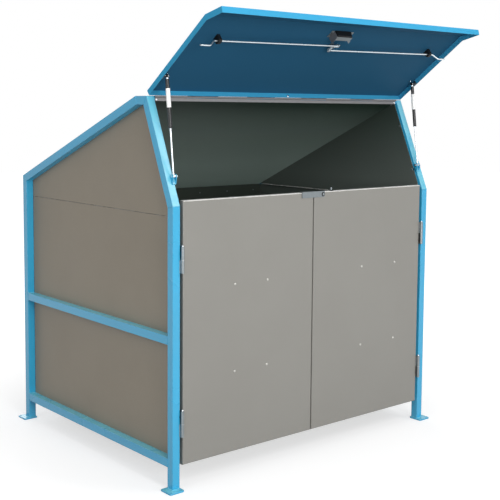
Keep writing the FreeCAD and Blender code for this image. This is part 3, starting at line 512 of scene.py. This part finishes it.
def finishFor(name):
    for finish, endings in finishOf.items():
        if any(name.endswith(ending) for ending in endings):
            return finish
    return "zinc"


for name, obj in nodes.items():
    obj.data.materials.clear()
    obj.data.materials.append(finishes[finishFor(name)])
print("finishes set")

sheetThickness = 0.0015
tiny = 0.001
creased = 35  # edges that turn by more degrees are drawn sharp
smooth = 60
forwards = (0, -1, 0)
upwards = (0, 0, 1)


def addPiece(name, shapes, finish, body, sharpAngle=creased):
    verts, faces = [], []
    for points, sides in shapes:
        start = len(verts)
        verts += [tuple(point) for point in points]
        faces += [tuple(start + i for i in side) for side in sides]
    mesh = bpy.data.meshes.new(name)
    mesh.from_pydata(verts, [], faces)
    work = bmesh.new()
    work.from_mesh(mesh)
    bmesh.ops.recalc_face_normals(work, faces=work.faces)
    work.to_mesh(mesh)
    work.free()
    mesh.shade_smooth()
    mesh.set_sharp_from_angle(angle=math.radians(sharpAngle))
    mesh.materials.append(finishes[finish])
    piece = bpy.data.objects.new(name, mesh)
    scene.collection.objects.link(piece)
    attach(piece, body)
    return piece


def spaced(start, end, count):
    return [start + (end - start) * i / (count - 1) for i in range(count)]


def turns(around):
    return [2 * math.pi * i / around for i in range(around)]


def arc(radius, degrees, count, middle=0.0):
    # points between two angles, round a centre at height middle
    first, last = [math.radians(d) for d in degrees]
    return [(radius * math.cos(a), middle + radius * math.sin(a)) for a in spaced(first, last, count)]


def aimed(spot, direction, up=upwards):
    # axes at spot whose Z runs along direction
    ahead = Vector(direction).normalized()
    side = Vector(up).cross(ahead)
    if side.length < tiny:
        side = Vector((1, 0, 0))
    side.normalize()
    turn = Matrix((side, ahead.cross(side), ahead)).transposed()
    return Matrix.Translation(spot) @ turn.to_4x4()


def skin(rings, around, hole=False):
    # faces over rings of points, closed at the ends, or joined up where there is a hole
    sides = []
    for ring in range(rings if hole else rings - 1):
        low, high = ring * around, (ring + 1) % rings * around
        for i in range(around):
            j = (i + 1) % around
            sides.append((low + i, low + j, high + j, high + i))
    if not hole:
        sides.append(tuple(range(around))[::-1])
        sides.append(tuple(range((rings - 1) * around, rings * around)))
    return sides


def lathe(outline, around, matrix, hole=False):
    # outline rows are radius and height, with a count of flats where the ring has them
    points = []
    for reach, height, *flats in outline:
        for angle in turns(around):
            out = reach
            if flats:
                half = math.pi / flats[0]
                out *= math.cos(half) / math.cos(angle % (half * 2) - half)
            points.append(matrix @ Vector((out * math.cos(angle), out * math.sin(angle), height)))
    return points, skin(len(outline), around, hole)


def wire(path, radius, around=8):
    # round wire along a list of points
    points = []
    for i, spot in enumerate(path):
        way = (path[min(i + 1, len(path) - 1)] - path[max(i - 1, 0)]).normalized()
        axes = aimed(spot, way, (1, 0, 0.01))
        points += [axes @ Vector((radius * math.cos(a), radius * math.sin(a), 0)) for a in turns(around)]
    return points, skin(len(path), around)


# outlines of heads, in shares of their radius and rise
blindHead = [
    (1, 0), (0.98, 0.3), (0.86, 0.62), (0.64, 0.86), (0.38, 0.98), (0.3, 1), (0.26, 0.72), (0.05, 0.66),
]
roundHead = [(1, 0), (1, 0.25), (0.93, 0.52), (0.78, 0.75), (0.55, 0.92), (0.28, 0.99), (0.04, 1)]
socketHead = [
    (1, 0), (0.97, 0.35), (0.84, 0.72), (0.66, 0.95), (0.56, 1), (0.5, 0.97, 6), (0.48, 0.35, 6), (0.06, 0.3),
]


def sized(head, radius, rise):
    return [(radius * reach, rise * height, *flats) for reach, height, *flats in head]


def washer(bore, radius, low, high):
    return [(bore, low), (radius, low), (radius, high), (bore, high)]


def heads(name, places, outline, finish, body, around=20, hole=False):
    shapes = [lathe(outline, around, aimed(spot, way), hole) for spot, way in places]
    return addPiece(name, shapes, finish, body)


weldLook = {
    "leg": 0.0026, "flush": 0.0011, "around": 8, "step": 0.0008, "fewest": 8, "endFade": 0.35,
    "pitch": 0.0032, "ripple": 0.2, "rippleMiddle": 0.6,
    "wander": 0.00025, "wanderTurns": 410, "wanderStart": (97, 53),
}


def bead(start, end, radius):
    # a rippled weld from start to end
    look = weldLook
    start, end = Vector(start), Vector(end)
    way = end - start
    length = way.length
    way.normalize()
    side = way.orthogonal().normalized()
    other = way.cross(side)
    count = max(look["fewest"], int(length / look["step"]))
    acrossStart, upStart = look["wanderStart"]
    points = []
    for i in range(count + 1):
        along = length * i / count
        fade = min(1.0, look["endFade"] + look["endFade"] * min(i, count - i))
        swell = 1 + look["ripple"] * (abs(math.sin(math.pi * along / look["pitch"])) - look["rippleMiddle"])
        phase = along * look["wanderTurns"] + start.x * acrossStart + start.z * upStart
        drift = look["wander"] * math.sin(phase)
        out = radius * swell * fade
        for a in turns(look["around"]):
            across = side * (out * math.cos(a) + drift)
            points.append(start + way * along + across + other * (out * math.sin(a)))
    return points, skin(count + 1, look["around"])


def sideBends():
    # the side frame's outline in (y, z), read off the CAD tubes
    ridgeLow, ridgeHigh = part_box("left_ridge_tube")
    postLow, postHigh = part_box("left_front_post")
    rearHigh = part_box("left_rear_post")[1]
    return [(postLow.y, 0), (postLow.y, postHigh.z), (ridgeLow.y, ridgeHigh.z), (ridgeHigh.y, ridgeHigh.z),
            (rearHigh.y, rearHigh.z), (rearHigh.y, 0)]


def mitres(depth):
    # each bend's outer corner, and the corner that lies depth inside it
    corners = []
    bends = sideBends()
    for (y0, z0), (y1, z1), (y2, z2) in zip(bends, bends[1:], bends[2:]):
        a = Vector((y1 - y0, z1 - z0)).normalized()
        b = Vector((y2 - y1, z2 - z1)).normalized()
        inwards = Vector((a.y + b.y, -a.x - b.x)).normalized()
        reach = depth / inwards.dot(Vector((a.y, -a.x)))
        corners.append(((y1, z1), (y1 + inwards.x * reach, z1 + inwards.y * reach)))
    return corners


def frameWelds():
    beads = []
    leg, flush = weldLook["leg"], weldLook["flush"]
    postLow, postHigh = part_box("left_front_post")
    outer, inner = -postLow.x, -postHigh.x
    for side in (-1, 1):
        far, near = side * outer, side * inner
        for rail in ("left_mid_rail", "left_bottom_rail"):
            low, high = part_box(rail)
            for y in (low.y, high.y):
                beads += [bead((far, y, z), (near, y, z), leg) for z in (low.z, high.z)]
                beads.append(bead((far, y, low.z), (far, y, high.z), flush))
        for outside, inside in mitres(outer - inner):
            beads.append(bead((far, *inside), (near, *inside), leg))
            beads.append(bead((far, *outside), (far, *inside), flush))
        for rail in ("rear_top_rail", "rear_mid_rail", "rear_bottom_rail"):
            low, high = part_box(rail)
            beads += [bead((near, low.y, z), (near, high.y, z), leg) for z in (low.z, high.z)]
            beads.append(bead((near, high.y, low.z), (near, high.y, high.z), flush))
        low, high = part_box("ridge_rail")
        beads.append(bead((near, low.y, high.z), (near, high.y, high.z), flush))
        beads.append(bead((near, high.y, low.z), (near, high.y, high.z), leg))
        for post in ("left_front_post", "left_rear_post"):
            low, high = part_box(post)
            beads += [bead((far, y, low.z), (near, y, low.z), leg) for y in (low.y, high.y)]
            beads += [bead((x, low.y, low.z), (x, high.y, low.z), leg) for x in (far, near)]
    addPiece("frameWelds", beads, "frame", "frame", smooth)
    print("frame welds made:", len(beads))


frameWelds()

sheetRivets = {
    "radius": 0.0038, "rise": 0.0017, "pitch": 0.24, "gableInset": 0.028, "fromEnd": 0.06,
    "postRow": 5, "fromFoot": 0.1, "fromSeam": 0.06, "fromCorner": 0.1, "railRow": 8,
}


def alongPath(points, pitch):
    spots = []
    for (y0, z0), (y1, z1) in zip(points, points[1:]):
        count = max(2, round(math.hypot(y1 - y0, z1 - z0) / pitch))
        for i in range(count):
            share = (i + 0.5) / count
            spots.append((y0 + (y1 - y0) * share, z0 + (z1 - z0) * share))
    return spots


def sheetFixings():
    # rivets on the store's inside, along the rails, the front posts, the gables and the seams
    look = sheetRivets
    end = look["fromEnd"]
    low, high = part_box("left_wall_panel")
    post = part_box("left_front_post")[1]
    mid = sum(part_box("left_mid_rail"), Vector()) / 2
    foot = (low.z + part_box("left_bottom_rail")[1].z) / 2
    face = -low.x - sheetThickness
    count = round((high.y - low.y) / look["pitch"])
    spots = [(y, z) for z in (mid.z, foot) for y in spaced(low.y + end, high.y - end, count)]
    column = spaced(low.z + look["fromFoot"], high.z - look["fromSeam"], look["postRow"])
    spots += [((low.y + post.y) / 2, z) for z in column]
    spots += alongPath([inside for _, inside in mitres(look["gableInset"])], look["pitch"])
    places = [((side * face, y, z), (-side, 0, 0)) for side in (-1, 1) for y, z in spots]
    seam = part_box("left_gable_panel")[0].z + sheetThickness
    flange = (face - high.x) / 2
    row = spaced(low.y + end, high.y - look["fromCorner"], count)
    places += [((side * flange, y, seam), upwards) for side in (-1, 1) for y in row]
    low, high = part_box("back_panel")
    for rail in ("rear_top_rail", "rear_mid_rail"):
        z = sum(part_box(rail), Vector()).z / 2
        places += [((x, low.y, z), forwards) for x in spaced(low.x + end, high.x - end, look["railRow"])]
    heads("sheetRivets", places, sized(blindHead, look["radius"], look["rise"]), "zinc", "frame")


roofRivets = {"radius": 0.0052, "rise": 0.00204, "fromEnd": 0.06, "row": 8, "fromDrip": 0.022}
roofBends = {"flatSlack": 0.0004, "dripSlack": 0.01}  # how near a corner has to be to count as that bend


def roofFixings():
    look = roofRivets
    low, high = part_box("roof_panel")
    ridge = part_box("ridge_rail")[0]
    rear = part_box("rear_top_rail")[1]
    corners = [v.co for v in nodes["roof_panel"].data.vertices]
    flat = [v for v in corners if abs(v.z - (ridge.z - sheetThickness)) < roofBends["flatSlack"]]
    flatEnd = max(flat, key=lambda v: v.y)
    behind = [v for v in corners if v.z < rear.z + roofBends["dripSlack"] and v.y < high.y - tiny]
    drip = max(behind, key=lambda v: v.z)
    slope = (Vector((0, drip.y, drip.z)) - Vector((0, flatEnd.y, flatEnd.z))).normalized()
    up = Vector((0, -slope.z, slope.y))
    places = []
    for x in spaced(low.x + look["fromEnd"], high.x - look["fromEnd"], look["row"]):
        places.append((Vector((x, drip.y, drip.z)) - slope * look["fromDrip"] + up * sheetThickness, up))
        places.append(((x, (ridge.y + flatEnd.y) / 2, flatEnd.z), (0, 0, -1)))
    heads("roofRivets", places, sized(blindHead, look["radius"], look["rise"]), "zinc", "frame")


shadeStripLook = {"radius": 0.0015, "fromFace": 0.001, "fromWall": 0.0012, "points": 14}


def cornerSeals():
    # painted shade: a thin black strip standing for the shadow line where each wall meets the back panel and
    # the rear post
    low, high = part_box("left_wall_panel")
    gable = [v.co for v in nodes["left_gable_panel"].data.vertices]
    top = max(co.z for co in gable if co.y > high.y - sheetThickness)
    x, y = low.x + shadeStripLook["fromFace"], high.y + shadeStripLook["fromWall"]
    heights = spaced(low.z, top, shadeStripLook["points"])
    beads = [wire([Vector((side * x, y, z)) for z in heights], shadeStripLook["radius"]) for side in (1, -1)]
    addPiece("cornerSeals", beads, "plastic", "frame", smooth)


sheetFixings()
roofFixings()
cornerSeals()
print("sheet fixings made")

doorRivets = {"radius": 0.0068, "rise": 0.0034, "cadRadius": 0.0055}


def doorRivetHeads():
    look = doorRivets
    inset = look["cadRadius"]
    for name in ("left", "right"):
        low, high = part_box(name + "_door_rivets")
        places = [((x, high.y, z), forwards) for x in (low.x + inset, high.x - inset)
                  for z in (low.z + inset, high.z - inset)]
        head = sized(blindHead, look["radius"], look["rise"])
        rivets = heads(name + "DoorRivets", places, head, "rivet", name + "_door", around=28)
        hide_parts(name + "_door_rivets")


hingeLook = {
    "pin": 0.004, "gap": 0.0006, "weld": 0.0021,
    "ball": 0.0046, "ballMiddle": 0.0024, "ballArc": (-14, 85),
    "capFoot": (0.0041, 0.0001), "neck": (0.96, 0.0007),  # the neck as a share of the ball, and its height
    "washer": 0.0086, "washerBore": 0.0042, "washerFaces": (0.00004, 0.00056),
}


def doorHinges():
    # a washer between the leaves, a ball end on each pin, and the welds of both leaves
    look = hingeLook
    gap = look["gap"]
    pinLow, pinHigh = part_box("door_hinge_pins")
    postLow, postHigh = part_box("door_hinge_post_leaves")
    leafLow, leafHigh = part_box("left_door_hinge_leaves")
    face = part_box("left_door_skin")[0].y
    pinX, pinY = pinHigh.x - look["pin"], (pinLow.y + pinHigh.y) / 2
    half = leafLow.z - gap - postLow.z
    spans = [(postLow.z, leafLow.z), (postHigh.z - half, postHigh.z + gap)]
    tops, washers, posts = [], [], []
    doors = {-1: [], 1: []}
    for side in (-1, 1):
        post, leaf = side * postHigh.x, side * -leafHigh.x
        for low, split in spans:
            tops.append(((side * pinX, pinY, split + half), upwards))
            washers.append(((side * pinX, pinY, split - gap), upwards))
            posts.append(bead((post, face, low), (post, face, split - gap), look["weld"]))
            doors[side].append(bead((leaf, face, split), (leaf, face, split + half), look["weld"]))
    neckShare, neckRise = look["neck"]
    cap = [look["capFoot"], (look["ball"] * neckShare, neckRise)]
    cap += arc(look["ball"], look["ballArc"], 9, look["ballMiddle"])
    heads("hingePinTops", tops, cap, "pin", "frame", around=24)
    ring = washer(look["washerBore"], look["washer"], *look["washerFaces"])
    heads("hingeWashers", washers, ring, "rod", "frame", around=32, hole=True)
    addPiece("hingeWelds", posts, "zinc", "frame", smooth)
    addPiece("leftHingeWelds", doors[-1], "zinc", "left_door", smooth)
    addPiece("rightHingeWelds", doors[1], "zinc", "right_door", smooth)


doorRivetHeads()
doorHinges()
print("door details made")

latchLook = {
    "bore": 0.0043, "washer": 0.011, "washerThick": 0.0012, "washerBevel": (0.93, 0.5), "sunk": 0.0001,
    "shank": 0.004, "head": 0.0066, "headRise": 0.0034, "headGap": 0.0002,
    "knob": 0.006, "knobDrop": 0.00554, "knobArc": (-46, 86),
}
grommet = [
    (0.0042, 0.0), (0.0085, 0.0), (0.0088, 0.0012), (0.0078, 0.0032), (0.0052, 0.0042), (0.0042, 0.0042),
]


def latchPivot():
    look = latchLook
    low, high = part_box("latch_rivet")
    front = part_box("latch_bar")[0].y
    x, z = (low.x + high.x) / 2, (low.z + high.z) / 2
    radius, thick = look["washer"], look["washerThick"]
    bevelReach, bevelRise = look["washerBevel"]
    ring = [(look["bore"], 0), (radius, 0), (radius, thick * bevelRise), (radius * bevelReach, thick),
            (look["bore"], thick)]
    spots = [((x, front - look["sunk"], z), forwards)]
    heads("latchWasher", spots, ring, "plastic", "right_door", around=36, hole=True)
    shank = high.y - front + thick + look["headGap"]
    head = [(look["shank"], 0), (look["shank"], shank)]
    head += [(r, shank + h) for r, h in sized(roundHead, look["head"], look["headRise"])]
    spots = [((x, high.y, z), forwards)]
    pivot = heads("latchPivotHead", spots, head, "zinc", "right_door", around=36)
    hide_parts("latch_rivet")


def latchStop():
    look = latchLook
    low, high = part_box("latch_stop")
    spots = [(((low.x + high.x) / 2, (low.y + high.y) / 2, low.z), upwards)]
    ball = arc(look["knob"], look["knobArc"], 12, high.z - low.z - look["knobDrop"])
    outline = [(look["shank"], 0), (look["shank"], ball[0][1])] + ball
    stop = heads("latchStopKnob", spots, outline, "zinc", "right_door", around=28)
    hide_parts("latch_stop")
    heads("latchStopGrommet", spots, grommet, "plastic", "right_door", around=28, hole=True)


latchPivot()
latchStop()
print("latch details made")

lidLine = {"rise": 36.1, "setOff": 0.005, "depth": 0.032}  # how the lid's own axes stand on its hinge


def lidAxes():
    # -Y runs from the hinge down the lid, -Z is its underside
    axis = sum(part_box("lid_hinge_pin"), Vector()) / 2
    turn = Matrix.Rotation(math.radians(-lidLine["rise"]), 4, "X")
    return Matrix.Translation(axis - turn @ Vector((0, lidLine["setOff"], -lidLine["depth"]))) @ turn


onLid = lidAxes()
lidDown = onLid.to_3x3() @ Vector((0, 0, -1))
lidAlong = onLid.to_3x3() @ Vector((0, -1, 0))


def lidSpot(x, along, depth):
    return onLid @ Vector((x, -along, -depth))


def lidBox(name, side):
    # the box of a lid piece's half on one side, in the lid's own axes
    back = onLid.inverted()
    spots = [back @ v.co for v in nodes[name].data.vertices if v.co.x * side >= 0]
    low = Vector([min(s[i] for s in spots) for i in range(3)])
    high = Vector([max(s[i] for s in spots) for i in range(3)])
    return low, high


lockLook = {
    "footAlong": 0.4783, "footAcross": 0.0645, "footStep": 0.015, "footDepth": 0.0035,
    "screw": 0.0042, "screwRise": 0.0024, "guideStep": 0.0095, "rivet": 0.0048, "rivetRise": 0.0018,
    "flangeBolt": 0.0066, "flangeBoltRise": 0.004, "flangeBoltDepth": 0.019,
}


def lockFixings():
    # screws through the strap's feet, and the lid's rivets over them and over the rod guides
    look = lockLook
    steel, coated = [], []
    for x in (-look["footAcross"], look["footAcross"]):
        for step in (-look["footStep"], look["footStep"]):
            along = look["footAlong"] + step
            steel.append((lidSpot(x, along, look["footDepth"]), lidDown))
            coated.append((lidSpot(x, along, 0), -lidDown))
    for side in (-1, 1):
        low, high = lidBox("rod_guides", side)
        x = (low.x + high.x) / 2
        for step in (-look["guideStep"], look["guideStep"]):
            coated.append((lidSpot(x, -(low.y + high.y) / 2 + step, 0), -lidDown))
    screw = sized(socketHead, look["screw"], look["screwRise"])
    heads("lockScrews", steel, screw, "zinc", "lid", around=24)
    rivet = sized(blindHead, look["rivet"], look["rivetRise"])
    heads("lidRivets", coated, rivet, "lid", "lid", around=24)
    bolt = [(lidSpot(0, sheetThickness, look["flangeBoltDepth"]), lidAlong)]
    head = sized(roundHead, look["flangeBolt"], look["flangeBoltRise"])
    heads("rearFlangeBolt", bolt, head, "pin", "lid", around=24)


stripLook = {
    "sunk": 0.002, "rivet": 0.0034, "rivetRise": 0.0012, "rivetUp": 0.006, "fromEnd": 0.095, "row": 12,
    "screw": 0.0055, "screwRise": 0.0032, "screwUp": 0.0068, "screwFromEnd": 0.007,
}


def hingeStrip():
    look = stripLook
    low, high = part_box("lid_hinge_fixed_leaf")
    y = high.y - look["sunk"]
    across = spaced(low.x + look["fromEnd"], high.x - look["fromEnd"], look["row"])
    row = [((x, y, low.z + look["rivetUp"]), forwards) for x in across]
    rivet = sized(blindHead, look["rivet"], look["rivetRise"])
    heads("hingeLeafRivets", row, rivet, "dull", "frame", around=16)
    across = (low.x + look["screwFromEnd"], high.x - look["screwFromEnd"])
    ends = [((x, y, low.z + look["screwUp"]), forwards) for x in across]
    screw = sized(roundHead, look["screw"], look["screwRise"])
    heads("hingeEndScrews", ends, screw, "pin", "frame", around=24)


cheekLook = {
    "along": (0.4500, 0.4985), "depth": (0.0036, 0.0385), "corner": 0.010, "thick": 0.0016, "out": 0.0556,
}


def lockCheek():
    # the strap's left side in a deeper steel plate with rounded corners
    look = cheekLook
    (near, far), (shallow, deep), corner = look["along"], look["depth"], look["corner"]
    bend = arc(corner, (0, 90), 8)
    outline = [(near, shallow), (far, shallow)]
    outline += [(far - corner + u, deep - corner + v) for u, v in bend]
    outline += [(near + corner - v, deep - corner + u) for u, v in bend]
    faces = (-look["out"], -look["out"] - look["thick"])
    points = [lidSpot(x, along, depth) for x in faces for along, depth in outline]
    n = len(outline)
    sides = [tuple(range(n)), tuple(range(n, 2 * n))[::-1]]
    sides += [(i, (i + 1) % n, n + (i + 1) % n, n + i) for i in range(n)]
    addPiece("lockCheek", [(points, sides)], "dull", "lid", 30)


lockFixings()
hingeStrip()
lockCheek()
print("lid details made")

# distances of the gland, crimps and nut are along the strut from the ends of its cylinder
strutEnd = {"socket": 0.0075, "neck": 0.014}
glandLook = {"bore": 0.0042, "step": 0.0068, "radius": 0.0076, "lip": 0.0012, "bevel": 0.4, "tuck": 0.0002}
crimpLook = {
    "tube": 0.009, "sunk": 0.0006, "proud": 0.0003, "half": 0.0012,
    "fromStart": (0.0008, 0.0062, 0.013), "fromEnd": (0.0008, 0.006),
}
nutLook = {"bore": 0.0049, "radius": 0.0068, "faces": (0.0006, 0.0042), "flats": 6}
clipLook = {
    "wire": 0.0008, "radius": 0.0079, "arc": (-235, 60), "points": 26, "inset": 0.0045,
    "tail": ((0.005, 0.002, 0), (0.011, 0.006, 0.002)),  # along the strut, inwards and back
}
footLook = {
    "bore": 0.0042, "washer": 0.0078, "washerHalf": 0.00035, "washerGap": 0.0075,
    "keeperBore": 0.0041, "keeper": 0.0066, "keeperHalf": 0.0005, "keeperGap": 0.0135,
}


def strutTube(name, axes, start, end):
    # the gland that the rod runs through, the tube's crimps and the nut that locks the socket
    body = name + "_strut_tube"
    look = glandLook
    lip, inner = start - look["lip"], start + look["tuck"]
    gland = [(look["bore"], lip), (look["step"], lip), (look["radius"], start - look["lip"] * look["bevel"]),
             (look["radius"], inner), (look["bore"], inner)]
    addPiece(name + "StrutGland", [lathe(gland, 32, axes, True)], "rod", body)
    look = crimpLook
    low, high, half = look["tube"] - look["sunk"], look["tube"] + look["proud"], look["half"]
    rims = [start + step for step in look["fromStart"]] + [end - step for step in look["fromEnd"]]
    crimps = [lathe([(low, rim - half), (high, rim), (low, rim + half)], 32, axes, True) for rim in rims]
    addPiece(name + "StrutCrimps", crimps, "strut", body, smooth)
    look = nutLook
    low, high = [end + face for face in look["faces"]]
    flats = look["flats"]
    bore, radius = look["bore"], look["radius"]
    nut = [(bore, low), (radius, low, flats), (radius, high, flats), (bore, high)]
    addPiece(name + "StrutLockNut", [lathe(nut, 36, axes, True)], "rod", body, 25)


def strutClip(name, side, head, way):
    # the spring clip round the socket, with its end bent over
    look = clipLook
    axes = aimed(head + Vector((-side * look["inset"], 0, 0)), (1, 0, 0), way)
    path = [axes @ Vector((u, v, 0)) for u, v in arc(look["radius"], look["arc"], look["points"])]
    last = path[-1]
    path += [last + way * along + Vector((-side * inwards, back, 0)) for along, inwards, back in look["tail"]]
    addPiece(name + "StrutClip", [wire(path, look["wire"])], "pin", name + "_strut_tube", smooth)


def strutFoot(name, side, foot):
    look = footLook
    half, gap = look["washerHalf"], look["washerGap"]
    ring = washer(look["bore"], look["washer"], -half, half)
    places = [(foot + Vector((shift, 0, 0)), (1, 0, 0)) for shift in (-gap, gap)]
    heads(name + "StrutFootWashers", places, ring, "rod", "frame", around=28, hole=True)
    half, gap = look["keeperHalf"], look["keeperGap"]
    keeper = washer(look["keeperBore"], look["keeper"], -half, half)
    places = [(foot - Vector((side * gap, 0, 0)), (1, 0, 0))]
    heads(name + "StrutPinKeeper", places, keeper, "pin", "frame", around=24, hole=True)


def strutDetails():
    pinLow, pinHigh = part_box("strut_foot_pins")
    for side, name in ((-1, "left"), (1, "right")):
        cylinder = name + "_strut_cylinder"
        low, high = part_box(cylinder)
        x = (low.x + high.x) / 2
        foot = Vector((x, (pinLow.y + pinHigh.y) / 2, (pinLow.z + pinHigh.z) / 2))
        head = Vector((x, high.y - strutEnd["socket"], high.z - strutEnd["socket"]))
        way = (head - foot).normalized()
        start = min((v.co - foot).dot(way) for v in nodes[cylinder].data.vertices)
        end = (head - foot).length - strutEnd["neck"]
        strutTube(name, aimed(foot, way, (1, 0, 0)), start, end)
        strutClip(name, side, head, way)
        strutFoot(name, side, foot)


strutDetails()
print("strut details made")

floorLook = {"size": 40.0, "grey": 0.45, "nearLift": 0.62, "farLift": 1.0, "nearReach": 1.2, "farReach": 4.5}
white = (1, 1, 1, 1)


def shownBackground(tree):
    # 1 for rays that see the background, straight or in a mirror
    seen = place(tree, "ShaderNodeLightPath").outputs
    either = mathNode(tree, "MAXIMUM", seen["Is Camera Ray"], seen["Is Glossy Ray"])
    return mathNode(tree, "MAXIMUM", either, seen["Is Transmission Ray"])


def makeFloor():
    look = floorLook
    mesh = bpy.data.meshes.new("floor")
    half = look["size"] / 2
    corners = [(-half, -half, 0), (half, -half, 0), (half, half, 0), (-half, half, 0)]
    mesh.from_pydata(corners, [], [(0, 1, 2, 3)])
    floor = bpy.data.objects.new("floor", mesh)
    scene.collection.objects.link(floor)
    mat, tree, out = newMaterial("paleFloor")
    diffuse = place(tree, "ShaderNodeBsdfDiffuse")
    diffuse.inputs["Color"].default_value = (*[look["grey"]] * 3, 1)
    glow = place(tree, "ShaderNodeEmission")
    glow.inputs["Color"].default_value = white
    far = vectorNode(tree, "LENGTH", place(tree, "ShaderNodeTexCoord").outputs["Object"])
    spread = place(tree, "ShaderNodeMapRange", clamp=True)
    tree.links.new(far, spread.inputs["Value"])
    setInputs(spread, {"From Min": look["nearReach"], "From Max": look["farReach"],
                       "To Min": look["nearLift"], "To Max": look["farLift"]})
    lift = mathNode(tree, "MULTIPLY", shownBackground(tree), spread.outputs["Result"])
    tree.links.new(lift, glow.inputs["Strength"])
    both = place(tree, "ShaderNodeAddShader")
    tree.links.new(diffuse.outputs[0], both.inputs[0])
    tree.links.new(glow.outputs[0], both.inputs[1])
    tree.links.new(both.outputs[0], out.inputs["Surface"])
    mesh.materials.append(mat)


worldLook = {"color": (0.95, 0.97, 1.0, 1), "strength": 0.26}


def makeWorld():
    world = bpy.data.worlds.new("studio")
    world.use_nodes = True
    tree = world.node_tree
    tree.nodes.clear()
    out = tree.nodes.new("ShaderNodeOutputWorld")
    soft = place(tree, "ShaderNodeBackground")
    setInputs(soft, {"Color": worldLook["color"], "Strength": worldLook["strength"]})
    plain = place(tree, "ShaderNodeBackground")
    plain.inputs["Color"].default_value = white
    mix = place(tree, "ShaderNodeMixShader")
    tree.links.new(shownBackground(tree), mix.inputs[0])
    tree.links.new(soft.outputs[0], mix.inputs[1])
    tree.links.new(plain.outputs[0], mix.inputs[2])
    tree.links.new(mix.outputs[0], out.inputs["Surface"])
    scene.world = world


lamps = [
    {"name": "keyLamp", "place": (-2.2, -6.0, 4.6), "aim": (0, 0, 0.9), "size": 4.0, "power": 150},
    {"name": "frontLamp", "place": (-1.6, -6.8, 2.1), "aim": (0, 0, 1.4), "size": 2.5, "power": 170},
    {"name": "edgeLamp", "place": (-5.4, -3.5, 4.2), "aim": (-0.8, -0.6, 1.4), "size": 1.0, "power": 26},
    {"name": "sideLamp", "place": (-6.5, -1.2, 3.0), "aim": (0, -0.3, 0.9), "size": 3.5, "power": 72},
    {"name": "rightLamp", "place": (3.8, -5.6, 5.4), "aim": (0, 0, 1.2), "size": 3.0, "power": 120},
    {"name": "topLamp", "place": (0.0, -0.6, 6.5), "aim": (0, 0, 1.0), "size": 4.0, "power": 130},
    {"name": "backLamp", "place": (1.0, 6.5, 3.6), "aim": (0, 0, 1.0), "size": 3.5, "power": 130},
]


def makeLamps():
    for look in lamps:
        data = bpy.data.lights.new(look["name"], "AREA")
        data.shape = "SQUARE"
        data.size = look["size"]
        data.energy = look["power"]
        lamp = bpy.data.objects.new(look["name"], data)
        scene.collection.objects.link(lamp)
        lamp.location = look["place"]
        aim = Vector(look["aim"]) - lamp.location
        lamp.rotation_euler = aim.to_track_quat("-Z", "Y").to_euler()


makeFloor()
makeWorld()
makeLamps()
print("stage set")
